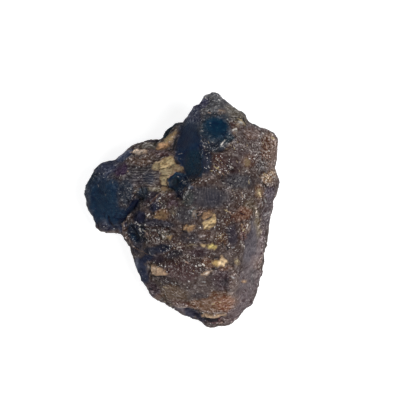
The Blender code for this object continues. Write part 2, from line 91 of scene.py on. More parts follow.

# Areas of the best face: (colour, share, u, v, half length, half width, turn in degrees if any).
# Later ones lie over earlier ones. The near-black areas over the pits are dark stone with painted shade.
ZONES = [
    ("dark ground", 0.5, 5.8, -1.2, 18.8, 15), ("shoulder brown", 1, 17.5, 17, 6.5, 6.5),
    ("apex grey", 0.95, 8.8, 26, 5.5, 3.8, -25), ("apex violet", 0.55, 5.2, 26.5, 1.2, 1.8, -40),
    ("slate band", 0.95, 3, 23, 2, 4, -12), ("dusk band", 0.9, 2, 20.5, 2.5, 2.2),
    ("crest olive", 0.85, 13.5, 24, 3.5, 1.8, -38), ("warm brown", 0.7, 10, 24.5, 1.2, 0.8),
    ("edge tan", 0.9, 21.8, 15.5, 2.2, 5), ("deep slate", 0.9, 6.5, 17.5, 2.2, 3.2, 20),
    ("sea slate", 0.8, 11, 17.8, 2.2, 1.5), ("deep slate", 1, 6.2, 11.8, 1.5, 3.5),
    ("speckled brown", 0.85, 9.5, 11.5, 2.2, 2.8), ("rust", 0.3, 8.8, 13, 1.2, 0.8),
    ("smooth brown", 0.9, 12.8, 10.8, 2, 2.5), ("smooth brown", 0.8, 15, 14, 2, 1.2),
    ("gold brown", 0.75, 16.5, 12, 2, 2), ("pale edge", 0.85, 21.8, 7.8, 2.2, 2),
    ("gold", 0.7, 19.2, 4.5, 1.2, 2), ("violet grey", 0.9, 21.8, 4.2, 1.5, 2),
    ("slate mid", 0.85, 14, 7, 4.2, 2.2), ("dark ground", 1, 5.8, 6.8, 3.5, 1.5),
    ("plateau", 0.95, 6.5, 3.2, 6.2, 3, -4), ("plateau core", 0.8, 7.5, 3, 2.2, 1.8),
    ("green grey", 0.8, 1.5, 2.8, 1.5, 2.2, -15), ("grey brown", 0.8, 15, 4, 2.5, 1.8),
    ("ash slate", 0.7, 20.5, 11, 1.8, 2.2, -40), ("tan olive", 0.75, 17, 1, 1.8, 2),
    # The pale grey and lavender flank areas from here on are partly dusty colour and partly painted sheen.
    ("rust", 0.9, 15.5, -0.8, 2.2, 1.8), ("flank light", 0.9, 21.2, -1.2, 1.5, 4.5, -12),
    ("flank tan", 0.75, 18.8, -3, 0.8, 4, 3), ("flank slate", 0.95, 17, -8.8, 1.8, 6.8, -4),
    ("flank pink", 0.9, 19.5, -9, 1, 5.5, -10), ("flank lavender", 0.95, 16.8, -17, 3, 4.5, -8),
    ("olive", 0.5, 18, -16, 1, 3, -5), ("flank low", 0.95, 14.5, -23.5, 3.2, 4.5, -28),
    ("orange brown", 0.95, 8, -23, 6.2, 2.8, 6), ("red brown", 0.8, 10.5, -23.2, 2.8, 1.8, 10),
    ("orange brown", 0.9, 3.5, -23.2, 2.5, 1.2, 5), ("olive low", 0.95, -2, -20.8, 4.5, 2, -12),
    ("grey brown", 0.85, 4.5, -20, 3, 2), ("dark plum", 0.8, 10, -17.2, 3, 2.8),
    ("deep plum", 0.8, 11, -18, 1.5, 1), ("brown rose", 0.85, -0.2, -15.2, 5, 2.8, -5),
    ("dark plum", 0.85, 4, -10.5, 2.5, 1.5), ("char", 0.8, -6.2, -12.2, 2.2, 1.2),
    ("flank navy", 0.9, -9.8, -15.5, 1.5, 3.8, 8), ("bottom dark", 0.8, -7, -19.8, 1.5, 2.5, 35),
    ("grey green", 0.8, -4.2, -17.5, 2, 1.2), ("foot pale", 0.85, -0.2, -23.8, 3, 1.2, -25),
    ("foot grey", 0.85, 12.5, -26.5, 2.8, 1.8, 10), ("foot purple", 0.9, 8, -27.5, 2.2, 0.8, 3),
    ("indigo", 0.85, -6, -3.2, 4.8, 1.2, -8), ("pit shade navy", 0.9, -10.5, -1.8, 1.8, 1.8),
    ("pit shade navy", 0.9, -7, 0.8, 1.5, 1.1, 10), ("mauve", 0.7, -2.2, 1.5, 1.5, 1.5),
    ("slate mid", 0.75, 0.5, -1.2, 2.5, 2.2), ("pale slate", 0.7, 3, -0.5, 1, 1.5),
    ("tan olive", 0.6, -2.2, -0.2, 1, 1.5), ("grey brown", 0.8, -6.2, -6, 2.8, 2),
    ("slate violet", 0.8, 2, -6.8, 2.8, 1.5), ("pale brown", 0.85, -1.2, -8.8, 2.2, 1.5),
    ("pale brown", 0.6, 6.2, -6.2, 2.2, 1.5), ("olive brown", 0.6, 9.8, -7, 1.8, 1.8),
    ("char", 0.85, 12.5, -6.2, 1.5, 3), ("brown wine", 0.95, 15.2, -6.5, 1, 1.2),
    ("purple brown", 0.6, 12.2, -1, 2.5, 2.8), ("olive brown", 0.5, 11, -2.8, 1.2, 1),
    ("grey brown", 0.2, 16.2, -14.5, 2.2, 1.8), ("roof grey", 0.95, -10, 8.8, 5, 3, -5),
    ("warm brown", 0.7, -10.2, 12, 3.2, 1.2, -5), ("char slate", 0.8, -9.5, 4.2, 1.8, 1.8),
    ("lobe speckle", 0.95, -13.8, 4.5, 2.2, 3.8), ("lobe violet", 0.95, -19, 10.5, 3.8, 2.5, 30),
    ("lobe speckle", 1, -22.2, 7.5, 1.8, 2.5, 35), ("slate blue", 0.9, -14.2, 13.5, 2.5, 1.2, 38),
    ("crest olive", 0.85, -8, 16, 2.8, 1), ("brown rose", 0.85, -5.5, 14.2, 3.2, 1, -5),
    ("tan", 0.6, -4.8, 5, 3.5, 1, -5), ("brown rose", 0.7, -2.8, 3.8, 1.2, 1.2, -45),
    ("char", 0.75, -7, 3.5, 1.8, 1.5), ("plum foot", 1, -18.2, -4, 2.8, 1.5, -5),
    ("wine", 0.6, -14.8, -4.2, 1, 1.8, -30), ("magenta", 0.7, -15.2, 10, 2.2, 1.5, 48),
    ("crest olive", 0.95, -4.2, -6.5, 1.5, 1.2), ("ember", 0.95, -5, -1, 2, 1.5),
    ("pit shade navy", 0.95, -12, -5.5, 1.8, 2.5, -35), ("pit shade slate", 0.9, -5, -9.5, 2.5, 1.2, 10),
    ("pit shade slate", 0.6, -1.8, -10.9, 2.5, 1, 18), ("pit shade slate", 0.95, 0.5, 7, 2, 2),
    ("dim teal", 0.9, 8.5, 15.8, 2.5, 1.5), ("flank navy", 0.9, -8.5, -11.8, 2, 1, 25),
    ("dusk band", 0.8, 2, 6, 1, 0.8, -40), ("deep slate", 0.9, -8.2, 7.8, 1.5, 1.5),
    ("pit shade slate", 0.9, -8, -10.2, 1.8, 1.2), ("foot pale", 0.8, 1, -24.2, 1.2, 1),
    ("foot pale", 0.9, 17.5, 19, 2, 1.8), ("plum foot", 0.95, -21.2, -2, 1.5, 1.8, -30),
    ("tan olive", 0.25, 2.5, -8.8, 1.8, 0.8), ("pale brown", 0.7, 13, -17.5, 1.5, 3),
    ("lobe rim", 0.9, -23.8, 4.2, 1, 2.8), ("pit shade navy", 0.9, -11, -7.2, 1.8, 1.2, -20),
    ("flank pink", 1, 18.2, -13, 1.5, 2.2), ("char", 0.5, -8.2, 1.8, 1.5, 1.2),
    ("edge tan", 0.7, 16, -4.5, 1.5, 1.5), ("orange brown", 0.85, 6.5, -13.2, 1.8, 1.5),
    ("char", 0.35, -11, 7.5, 2, 1.8), ("pale edge", 0.6, 22, 10.5, 1.5, 1.5),
    ("purple brown", 0.6, 11.8, 14.5, 1.5, 1.5), ("deep plum", 0.75, 4.2, -21.5, 2.5, 0.9, 3),
    ("pale flake", 0.75, 21.1, 7.8, 1.6, 1, -35), ("char", 0.35, -6.2, 2.8, 1.2, 1.2),
    ("pale edge", 0.6, 0.5, -24.8, 1.2, 1), ("ink", 1, -10.2, -5.5, 1.1, 2, -10),
    ("rust", 0.5, 13.5, -1.8, 1.5, 1.5), ("rust", 0.6, 11, -14.5, 1.8, 0.6, 5),
    ("plum foot", 0.4, -18.5, -3.5, 2.2, 1, -5), ("pale flake", 0.75, 22.4, 9, 1, 1.4, -30),
    ("foot pale", 1, 11.5, 20.8, 1.8, 1.5), ("pale brown", 0.5, 19.2, 1.5, 1.2, 1.2),
    ("char", 0.2, 11.5, 26.8, 1.2, 1, -40), ("char", 0.15, 3.8, 1.8, 1.5, 1.2),
    ("char", 0.4, -5.2, 1.5, 1.2, 1.2), ("warm brown", 0.5, -8, 13.5, 1.5, 1.2),
    ("deep slate", 0.9, -13, -5.2, 0.8, 2.2, -30), ("indigo", 0.85, -11.2, -9.2, 1.5, 2),
    ("tan", 0.6, -7, 5, 1.8, 0.6), ("plateau", 0.6, 0.8, 20.8, 1.2, 1, -30),
    ("violet grey", 0.8, 0, -25.2, 2.8, 0.6, -27), ("pale flake", 0.1, 19, -13.5, 1.5, 1.8),
    ("slate blue", 0.3, -11.2, -13, 1, 1.5), ("pit shade navy", 0.45, -5.5, -10.2, 1.5, 1),
    ("lobe violet", 0.9, -20.2, 7.8, 2, 1.2, 10), ("flank pink", 0.5, 19, -16.5, 1.5, 1.5),
    ("deep plum", 0.4, 6.8, -28, 2, 0.8, 5), ("orange brown", 0.5, -6, -21.8, 1.5, 0.8, 30),
    ("char", 0.9, -7.2, 17.1, 2, 0.5, -5), ("slate blue", 0.3, -11, -13.5, 1, 1.8),
]

# Glassy faces and hollows: (colour, gloss, softness of the edge in mm, outline). The near-black ink and ink
# purple areas lie in pits and a crack: dark stone with painted shade.
GLASS = [
    ("lobe blue", 0.5, 2.6, (-23.5, 6.5, -22.8, 7.8, -21.5, 8.2, -19.5, 8, -17.5, 8.2, -16, 7.5, -15.2, 6,
        -15.5, 4.5, -15.8, 3, -15.8, 1.5, -15, 0.5, -13.2, 0.5, -12.2, 1.5, -11.2, 2.8, -11, 1.8, -12.2, 0,
        -13.5, -1.2, -15, -3, -16, -4.2, -17.8, -4.2, -19.5, -3, -21.2, -3, -22.2, -1.8, -23.5, 0.5)),
    ("lobe teal", 0.5, 3, (-22, 4.5, -20, 5.5, -17.5, 5, -16.5, 3, -16.5, 1, -15.5, -0.5, -15, -1.5,
        -16.5, -2.8, -18.5, -1.8, -20.5, -1, -21.8, 1)),
    ("deep slate", 0.4, 0.7, (-16, -3.2, -15, -1.5, -13.8, 0, -12.8, 1.5, -11.8, 2.8, -10.8, 2.8,
        -10.8, 1.5, -12, 0.2, -13, -1, -14.2, -2.2, -15.5, -3.5)),
    # Painted shade in the deep pits by the lobe.
    ("ink", 0.3, 0.5, (-12, -5.2, -11, -6, -10.2, -6.8, -9.2, -7, -9.2, -7.8, -10.5, -7.5, -11.5, -7)),
    ("ink", 0.3, 0.4, (-10.5, -3.5, -9.5, -3.5, -9.5, -4.2, -10.2, -4.5)),
    ("cliff navy", 0.5, 1.3, (0.8, 21.5, 2, 21.2, 3.2, 20.8, 4.5, 19.8, 4.9, 18, 5.2, 16, 5.5, 14, 5.2, 12,
        5.2, 10, 4.8, 8.5, 3.2, 8, 1.8, 8.2, 0.8, 9.2, 0.5, 10.5, -0.2, 11.5, -1, 12.2, -1.5, 13.2,
        -1.5, 15, -1.5, 16.8, -1, 18, -0.2, 19.5)),
    ("cliff teal", 0.6, 1.4, (1.2, 13.5, 2.8, 15, 5, 15, 5, 12, 5.2, 10, 4.8, 8.5, 3, 8, 1.5, 8.8,
        0.8, 10.2, 1, 11.5)),
    ("deep teal", 0.3, 0.7, (-3.6, 7, -3, 8.1, -2.2, 8.9, -1.2, 9.3, 0, 9.2, 1, 8.8, 1.8, 8, 1.2, 6.8,
        0.5, 5.6, -0.2, 4.5, -0.9, 3.5, -1.5, 4.4, -2.2, 5.1, -3, 5.8)),
    ("ink teal", 0.35, 1, (-3.1, 7, -2.4, 7.8, -1.2, 8.4, -0.5, 7.5, -0.8, 6.1, -1.5, 5.4, -2.5, 6)),
    ("ink purple", 0.2, 0.6, (-1.2, 4.5, 0, 5, 0.5, 4.2, 0, 3, -1, 3.2, -1.5, 4)),
    ("slate teal", 0.35, 2.6, (4.5, 22, 5.8, 23.5, 7.8, 24, 10, 23.8, 11.5, 22.6, 12.2, 21, 12.2, 19.2,
        11.6, 17.6, 10, 16.6, 7.5, 16.6, 5.5, 17.5, 4.2, 19.5)),
    ("blue", 1, 3.2, (6.2, 22.5, 7.2, 23.2, 8.5, 23.2, 10, 22.9, 11.1, 22.1, 11.6, 20.8, 11.4, 19.4,
        10.2, 18.2, 8.9, 17.9, 7.5, 18.5, 6.6, 19.5, 6, 21)),
    ("ink teal", 0.4, 0.5, (-5.4, 17.2, -4.8, 18.9, -3.8, 20.4, -2.5, 21.5, -1, 22.1, 0, 22.2, -0.2, 21.2,
        -1.2, 20.5, -2.4, 19.5, -3.6, 18.4, -4.6, 17.6)),
    ("ink slate", 0.3, 0.5, (0.5, -25, 2, -24.8, 3.8, -25, 4.5, -25.8, 5.2, -27, 6, -27.8, 4.8, -27.8,
        3.2, -27, 1.8, -27, 0.8, -26.5)),
    ("foot purple", 0.1, 0.4, (6, -27.1, 7.8, -27, 9.5, -26.8, 9.8, -27.5, 8, -28, 6.5, -27.8)),
    ("deep teal", 0.3, 0.8, (-13.1, -3.5, -12.2, -3.5, -11.5, -4.8, -10.9, -6.5, -10.8, -7.8, -11.8, -7.8,
        -12.6, -6.6, -13.2, -5)),
]

# Colours of the grains and flecks.
CREAM, LIGHT_CREAM, BRIGHT_CREAM = (170, 152, 116), (180, 156, 126), (216, 192, 156)
YELLOW, ORANGE, TAN, OLIVE_CREAM = (206, 190, 122), (156, 126, 96), (146, 122, 98), (118, 102, 80)
TAN_CREAM, PALE_PINK, SAND, RUSSET = (184, 160, 138), (236, 216, 200), (138, 126, 100), (156, 120, 92)
OCHRE, STRAW, MOSS, PEACH = (124, 100, 74), (186, 164, 125), (172, 168, 142), (186, 148, 114)
# White stands for painted glints as well as pale flecks.
GOLD, PINKISH, WHITE, GREY = (174, 148, 98), (166, 138, 124), (216, 210, 202), (140, 138, 138)
BLUE_GREY = (116, 122, 132)

# Pale grains grown into the stone: (colour, outline).
GRAINS = [
    (SAND, (-7.2, 11, -6.9, 11.8, -6, 12.1, -5.2, 12.5, -4.2, 13.2, -3, 13.6, -2, 13.4, -1.6, 12.5,
        -1.2, 11.6, -0.2, 11.2, 0.5, 10.9, 0.6, 10.4, 0, 9.8, -0.8, 9.6, -1.8, 9.4, -2.4, 8.8, -3, 8.2,
        -3.5, 7.4, -3.6, 6.4, -4, 5.8, -4.8, 5.8, -5.2, 6.5, -5.4, 8.2, -5.2, 9.4, -6, 9.8, -7, 9.9,
        -7.4, 10.2)),
    (CREAM, (-6.5, 15.4, -5.5, 16, -4.2, 16.9, -3, 17.9, -1.9, 18.9, -0.9, 20, -1.1, 19.2, -1.7, 18.3,
        -2.3, 17.4, -2.9, 16.4, -3.8, 15.5, -5, 15)),
    (STRAW, (6, -2.5, 7, -1.8, 7.8, -0.6, 8.5, -1.4, 8.7, -2.8, 8.2, -4, 6.8, -4.8, 5.3, -4.8, 5, -3.2,
        5.5, -2.8)),
    (ORANGE, (0.2, -4, 1, -3.5, 2, -3.6, 3.2, -3.5, 3.2, -4.2, 2.5, -5, 1, -5.1, 0, -4.8)),
    (YELLOW, (5.9, -8.5, 6.8, -8.2, 8, -8.3, 8.9, -8.5, 9, -9.2, 8.4, -10, 7.2, -9.8, 6.2, -9.4)),
    (BRIGHT_CREAM, (7.5, -12.4, 8.5, -12, 9.2, -12.1, 10, -11.2, 10.5, -12, 11.5, -12.4, 11.6, -13.5,
        10.5, -14.1, 9.2, -14.2, 8.2, -14.2, 7.6, -13.5)),
    (PALE_PINK, (4.8, -15.9, 5.4, -15.2, 6.3, -15, 7.5, -14.9, 7, -15.6, 6.2, -16.4, 5.2, -16.3)),
    (TAN_CREAM, (-8.4, -13.8, -7.8, -13.5, -6.8, -13.8, -5.5, -14.2, -4.2, -14.9, -3.2, -15.5, -3.5, -16,
        -4.2, -16.2, -6, -16.3, -7.5, -16.2, -8, -15.2)),
    (TAN_CREAM, (4.6, -25.8, 5.5, -25.8, 6.8, -26, 8.2, -26, 9.8, -25.8, 10.9, -25.3, 11, -25.9, 9.2, -26.7,
        7.5, -27.1, 6, -27.2, 5, -26.8)),
    (PALE_PINK, (-13, 14.2, -12, 14.9, -10.8, 15.1, -9, 14.8, -8.5, 14.2, -9.5, 13.8, -11, 13.6,
        -12.2, 13.8)),
    (SAND, (18.6, 4.9, 19.2, 5.2, 19.9, 4.8, 19.8, 3.8, 19.1, 3.2, 18.6, 3.8)),
    (PALE_PINK, (21.8, 6.5, 22.2, 6.4, 22, 6)),
    (GREY, (12.5, 19.8, 13.2, 20.4, 14, 20, 13.5, 19.2, 12.8, 18.9)),
    (GREY, (13.5, 22.2, 14.5, 22.6, 15.8, 21.8, 15.5, 21, 14.5, 21, 13.8, 20.5, 13.2, 21.2)),
    (OLIVE_CREAM, (15.4, 12.2, 16, 12.9, 17, 12.2, 17, 11.2, 16.2, 10.8, 15.5, 11.2)),
    (GREY, (2.8, 0.2, 3.8, 0.2, 3.6, -0.8, 3, -2, 2.4, -1.5)),
    (MOSS, (13.2, -12.2, 13.8, -12, 14.2, -12.4, 14.2, -13.5, 13.8, -13.9, 13.3, -13.2)),
    (CREAM, (-3.8, -6.4, -3, -6.2, -2.4, -6.8, -2.9, -7.4, -3.6, -7.2)),
    (PEACH, (-6.5, 15.4, -5.6, 15.9, -4.8, 15.9, -3.5, 16.2, -2.6, 16.6, -2.8, 15.8, -3.8, 15.2, -5.2, 15,
        -6.2, 15)),
    (CREAM, (-5.4, 12.1, -4.2, 12.8, -3.2, 12.6, -3, 11.5, -3.4, 10.5, -5.2, 10.4)),
    (CREAM, (-3.8, 13.2, -2.8, 13.5, -2, 13, -1.9, 11.8, -2.5, 11.4, -3, 12.5)),
    (OLIVE_CREAM, (-2.2, 10.8, -1, 11, 0.4, 10.8, 0.1, 10.1, -1, 9.7, -2, 10)),
    (SAND, (-5.1, 8.1, -3.8, 8.2, -3.9, 7.2, -4.1, 6.5, -4.9, 6.5)),
    (OLIVE_CREAM, (-5.1, 5.8, -3.9, 5.8, -3.6, 5, -4.5, 4.5, -5.2, 5)),
    (CREAM, (4.5, -8.5, 5.2, -8.1, 6, -8.4, 6, -9.1, 5.1, -9.1)),
    (GOLD, (7.8, -12.5, 8.8, -12.1, 8.9, -13, 8.8, -14.2, 8.1, -14.2, 7.7, -13.5)),
    (TAN_CREAM, (14.6, -17.8, 15.2, -17.3, 16.1, -17.4, 16.1, -17.9, 15.2, -18.2)),
    (ORANGE, (5, -1.2, 5.4, -0.5, 6.5, -0.1, 7.6, -0.5, 7.5, -1.4, 6.6, -1.9, 5.5, -2.5, 5, -2.1)),
    (OCHRE, (-7.6, -1.9, -6.9, -1.4, -6, -0.6, -5.4, 0, -4.5, -0.1, -3.8, -0.9, -3.5, -1.8, -4.5, -2.2,
        -6.5, -2.3)),
]

# Bright flecks and wires: (colour, half width in mm, strokes). They are partly pale minerals and partly
# painted glints and edge highlights.
FLECKS = [
    (CREAM, 0.17, [(13.8, 22.8, 14.8, 22.2), (10.9, -0.2, 11.8, -0.4), (9.2, -22.8, 9.6, -23)]),
    (GREY, 0.15, [(4.6, 20.4, 5.2, 20.5), (20, 2, 20.1, 1), (20.2, -1.4, 21.5, -0.6),
        (-2.5, -8.2, -1.5, -8.9), (-14.5, 1.5, -13.8, 1.2), (-10.5, 12.8, -10, 12.7)]),
    (WHITE, 0.2, [(0.6, 7, 1, 7.2), (16.8, -2.8, 16.7, -3.1), (16.2, -3.6, 16, -4.5)]),
    (RUSSET, 0.12, [(4.5, -15.4, 5.1, -16.1, 5.8, -16.8)]),
    (CREAM, 0.2, [(14.5, 22.1, 15.8, 21.2), (7.4, -23.6, 8, -23.4)]),
    (PALE_PINK, 0.1, [(-6.9, 11.6, -6.2, 12)]),
    (PINKISH, 0.09, [(-7.5, 2.6, -6.2, 3.4)]),
    (GREY, 0.09, [(-8.6, -13.6, -8.2, -14.8), (-9, 0.8, -8.2, 1.3), (-6, 2.6, -4.8, 3.6, -3.8, 4.5)]),
    (WHITE, 0.17, [(11.8, 10.6, 12.2, 10.8, 12.8, 10.4), (20, 19.1, 20.4, 18.9), (-8.6, -1.4, -8.1, -1)]),
    (BLUE_GREY, 0.1, [(7, 21.1, 7.4, 21.1)]),
    (YELLOW, 0.12, [(-5.8, 2.4, -5, 1.8)]),
    # The stroke by (10, 17) is a painted glint under the blue window.
    (WHITE, 0.14, [(8.8, -5.6, 9.2, -6.2, 9.8, -6.9), (10.1, 16.6, 10.7, 17.4)]),
    (BRIGHT_CREAM, 0.12, [(6.9, -4, 7.9, -2.4)]),
    (CREAM, 0.28, [(22.4, 18.2, 22.9, 17.8)]),
    (LIGHT_CREAM, 0.2, [(0.9, -4.4, 1.5, -4.2), (-6.5, 11.6, -4.8, 12.2)]),
    (STRAW, 0.2, [(-5.5, 10.4, -3.5, 11)]),
    (LIGHT_CREAM, 0.17, [(13.5, 21, 14.2, 21.5), (5.1, -26.3, 6.2, -26.6, 7.8, -26.5)]),
    # The stroke by (10, 16.5) is a painted glint under the blue window.
    (WHITE, 0.23, [(9.7, 16.1, 10.1, 16.6), (12.6, 19.8, 13.5, 20.1), (4.2, -13.6, 4.6, -13.8),
        (5.1, -13.4, 5.5, -13.8)]),
    (PALE_PINK, 0.12, [(19.9, -10.2, 20, -11.5)]),
    (PINKISH, 0.23, [(1, -12.8, 1.6, -13.1)]),
    (GREY, 0.25, [(12.2, -16.5, 12.9, -16.8)]),
    (TAN, 0.2, [(9.2, 24.8, 10.5, 24.5)]),
    (PINKISH, 0.11, [(21.2, 13, 23, 11.5)]),
    (GOLD, 0.12, [(-6.5, -1.9, -4.8, -1.5)]),
    (BRIGHT_CREAM, 0.2, [(19.1, 4.4, 19.4, 3.5)]),
    (BLUE_GREY, 0.11, [(7, 21.8, 7.4, 21.8)]),
    (WHITE, 0.09, [(-1.6, 5, -1.4, 4.8)]),
    (BRIGHT_CREAM, 0.15, [(5.5, -4.4, 6.4, -3.8)]),
    (PINKISH, 0.17, [(-13.6, 9.9, -13.4, 9.5)]),
    (GREY, 0.2, [(4.6, 19.6, 5.2, 19.6), (20.5, 2.8, 20.8, 2), (12.2, -9.3, 12.9, -9.1)]),
    (PALE_PINK, 0.15, [(-5.2, -7.6, -4.8, -7.7)]),
    (CREAM, 0.09, [(-7.5, -1.4, -6.8, -1)]),
    (GREY, 0.17, [(5.2, 16, 5.6, 15.8), (12.8, 7.2, 13.4, 7.1), (-2.8, -18.2, -2.2, -18.6),
        (5, -17.8, 5.8, -17.9)]),
    (PINKISH, 0.1, [(3.2, 6.6, 4, 7.2), (2.5, 5.8, 3, 6.4), (-6.4, -6, -6, -6.5), (-4.5, -7, -4.1, -7.1),
        (-1, 2.8, -0.5, 3), (1.4, 2.4, 1.8, 2.6)]),
    (PINKISH, 0.2, [(6.5, 24.2, 7.1, 24.1)]),
    (GREY, 0.11, [(-2, 11.8, -1.6, 11.1)]),
    (WHITE, 0.12, [(6.9, 14.8, 7.1, 14.5), (7.8, 14.9, 8, 14.6), (17.5, 16.5, 17.6, 15.6),
        (10.2, 6.9, 10.8, 6.6), (12.1, 6, 12.2, 5.6), (15.8, 1.6, 16, 0.8), (11.5, 1.5, 11.8, 0.6),
        (-0.1, 6.9, 0.2, 6.8), (19.5, 12.5, 20, 11.8), (14.5, -7.6, 14.6, -8.2), (1.2, -11.1, 1.5, -11.5),
        (-1.7, 0.4, -1.2, 0.6), (-10.9, -5.8, -10.5, -6.4), (-4.5, 1.4, -4, 1), (-5.9, 2.7, -5.4, 2.9),
        (20.6, 7.2, 21.1, 7.5), (22.2, 8, 22.9, 8.4), (14, 21.9, 14.8, 21.6), (22, 8.8, 22.8, 8)]),
    (CREAM, 0.15, [(6.5, 16.9, 6.8, 16.6), (13.5, 16.9, 13.8, 16.6), (7.9, 10.9, 8.5, 10.4, 9.2, 10),
        (10.5, 0.1, 11.2, 0.2), (15, -5.2, 15.4, -4.6), (-4.5, -19.1, -3.5, -19.5),
        (2.1, -3.9, 2.9, -3.8)]),
    (LIGHT_CREAM, 0.12, [(13, 21.8, 13.6, 22.1), (1.6, -5.1, 1.9, -5.4)]),
    (GREY, 0.12, [(4.8, 18.5, 5.1, 17.9), (0.4, 2.6, 0.8, 3.6, 1.5, 4.5), (1.5, 4.5, 2, 5.5, 2.5, 6.4),
        (19, 13, 19.5, 12.5), (19, 14.6, 20, 14.1)]),
    (ORANGE, 0.15, [(14.8, -3.5, 14.9, -4.5)]),
    (CREAM, 0.12, [(11.8, 16, 12.2, 15.8), (11, 15.2, 11.8, 15), (12.8, 15.5, 13, 15),
        (16, 16.2, 16.2, 15.8), (11.8, 14.2, 11.8, 13.6), (12.6, 14, 12.8, 13.2), (8.1, 12.1, 8.5, 11.8),
        (9.2, 11, 9.5, 10.5), (6.9, 9.8, 7.8, 9.6), (8.5, 9.5, 9, 8.8), (14, 10.2, 14.2, 9.6),
        (10.5, 11.8, 10.8, 11), (13.5, 12.2, 13.8, 11.8), (11.2, 9.8, 11.8, 9.2), (16.6, 7.5, 16.7, 6.5),
        (12.2, 5, 12.8, 4.5, 13.2, 3.9), (20.2, 16.8, 20.5, 16.2), (9.4, -7, 10.3, -5.9),
        (15.5, -5.2, 16, -5.8), (-1.2, -8.5, -0.2, -8.2), (-11.8, 4.2, -11.4, 4.5), (-11, 5, -10.6, 4.8),
        # The strokes along the wedge's upper-left rim are a painted highlight.
        (-6.2, 16.2, -5.2, 17.1, -4.2, 17.8), (-4, 18.1, -2.5, 19.6)]),
    (TAN, 0.15, [(9.4, 9.8, 9.9, 9.2, 10.4, 8.8), (19.1, 8.2, 19.8, 7.9)]),
    (TAN, 0.12, [(14.6, 4.5, 15, 2.8), (9.8, -7.8, 10.5, -6.8), (12.8, -12.4, 13.2, -11.9),
        (11.5, -15, 12, -15.4), (2, -8.8, 2.8, -8.4), (1, -6.5, 1.8, -7)]),
    (PINKISH, 0.15, [(11.8, -0.4, 12.2, -1.1), (21, 16, 21.3, 15.2), (-3.4, 8.4, -2.6, 8.8, -2, 9),
        (10, -22.6, 11, -22.7)]),
    (WHITE, 0.15, [(5.9, 27.8, 6.2, 27.6), (15.4, 3.9, 15.6, 2.9), (21.6, 14.8, 21.8, 14.5),
        (8.8, -2.2, 9, -2.4), (14.8, -8.5, 15.5, -9.5), (-7.1, -13.1, -6.8, -12.9),
        (-2.3, -1.2, -2.1, -1.8), (-11.2, -3.5, -10.6, -3.9), (-10.5, -4.6, -10.1, -5.5),
        (5.5, -15.9, 6.5, -15.4)]),
    (WHITE, 0.12, [(-1, -9.2, 0, -9.1)]),
    (OLIVE_CREAM, 0.15, [(-9.4, -2.1, -8.4, -1.8), (1.2, -8.9, 2.5, -8.6, 3.8, -8.9)]),
    (WHITE, 0.11, [(20, 7.9, 20.6, 8.4), (21.5, 7.5, 22.1, 7.9), (21.4, 6.8, 21.8, 6.4),
        (22.1, 9.2, 22.4, 8.5), (22.8, 7.4, 23.1, 8), (0.4, 7.1, 0.7, 6.9), (-1, 8.4, -0.8, 8.2),
        (-5.1, 1.9, -4.8, 1.1, -4.9, 0.4)]),
    (CREAM, 0.12, [(-2.1, -0.4, -1.9, -1), (-9.5, -4.9, -9, -5.4), (-2, -9.4, -1, -9.8),
        (20.4, 9.1, 21, 8.8)]),
    (PINKISH, 0.12, [(20, 13.8, 21, 12.8), (20.8, 12.5, 22.5, 10.8), (11, -22.2, 11.8, -22),
        (9.2, -28.1, 10.2, -27.9), (-8.8, -5.6, -8.5, -6.2), (19.5, -11.8, 19.6, -13.2),
        (3.5, -0.6, 4.8, -0.2)]),
    (RUSSET, 0.1, [(-4.8, 6.8, -3.8, 7), (3.8, -1.4, 4.8, -1)]),
    (WHITE, 0.1, [(12, 11, 12.1, 10.5), (1.5, 7.6, 2, 7.2), (2.1, -11.5, 2.2, -12.2),
        (0.5, -12, 0.8, -12.4), (21, 6, 21.4, 6.4), (-9.9, -4.9, -9.6, -5.2), (-10.4, -6, -10, -6.2),
        # The last stroke is a painted highlight along the wedge's upper-left rim.
        (-0.1, 7.9, 0.1, 8), (-6.2, 16.5, -5.4, 17.2)]),
    (CREAM, 0.1, [(0.2, 1.8, 0.6, 2.2), (8.8, -6.2, 9.2, -6.9), (-8.2, -2.1, -7.4, -2.4),
        (-10.5, 1.4, -10.1, 1), (-1.5, -13.1, -1.1, -13.5), (-3.2, -14.5, -2.9, -14.8),
        (-0.2, -14.2, 0.1, -14), (2.8, -14.8, 3.1, -15.1), (-5.5, -18, -5.1, -18.4), (-4.5, -22.8, -4, -23),
        (-3, -23.6, -2.5, -23.5), (-0.5, -23, 0, -22.8), (-8, -6.2, -7.5, -6.5), (8.2, 10.5, 8.5, 10.1),
        (7.4, 12.9, 7.6, 12.5), (-5.5, -0.8, -4.9, -0.5)]),
    (LIGHT_CREAM, 0.1, [(9, 10.1, 9.2, 9.7), (9.8, 11.6, 10, 11.2)]),
    (YELLOW, 0.1, [(8.8, 11.6, 9, 11.2), (7.9, 11.5, 8, 11.1), (8.6, 12.6, 8.8, 12.2),
        (8.8, 10.8, 9, 10.4)]),
    (CREAM, 0.1, [(7.8, 10.8, 8, 10.5), (9.5, 12.4, 9.7, 12)]),
    (TAN, 0.1, [(-6.2, 3.6, -4.8, 4.5), (-8, -5.2, -7.6, -4.9)]),
    (TAN_CREAM, 0.11, [(-7, -4.8, -6.5, -5)]),
    (TAN, 0.1, [(-5.9, -5.2, -5.4, -5.6)]),
    (CREAM, 0.11, [(20.1, 8.8, 20.6, 8.5), (20.9, 8, 21.2, 8.4), (-4.8, -5.6, -4.4, -5.2)]),
    (STRAW, 0.12, [(21, 8.1, 21.9, 7.2)]),
    (GREY, 0.1, [(-1, 13.8, 0.2, 14.1), (-1, 12.9, 0.5, 12.6), (20, 20.5, 21.5, 20.1, 22.8, 19),
        (-9.8, 6.5, -8.5, 6.9), (-7.8, 6.8, -7, 7.2), (-6.4, 7.3, -5.8, 7.2), (-19.2, 4.2, -19, 3.4),
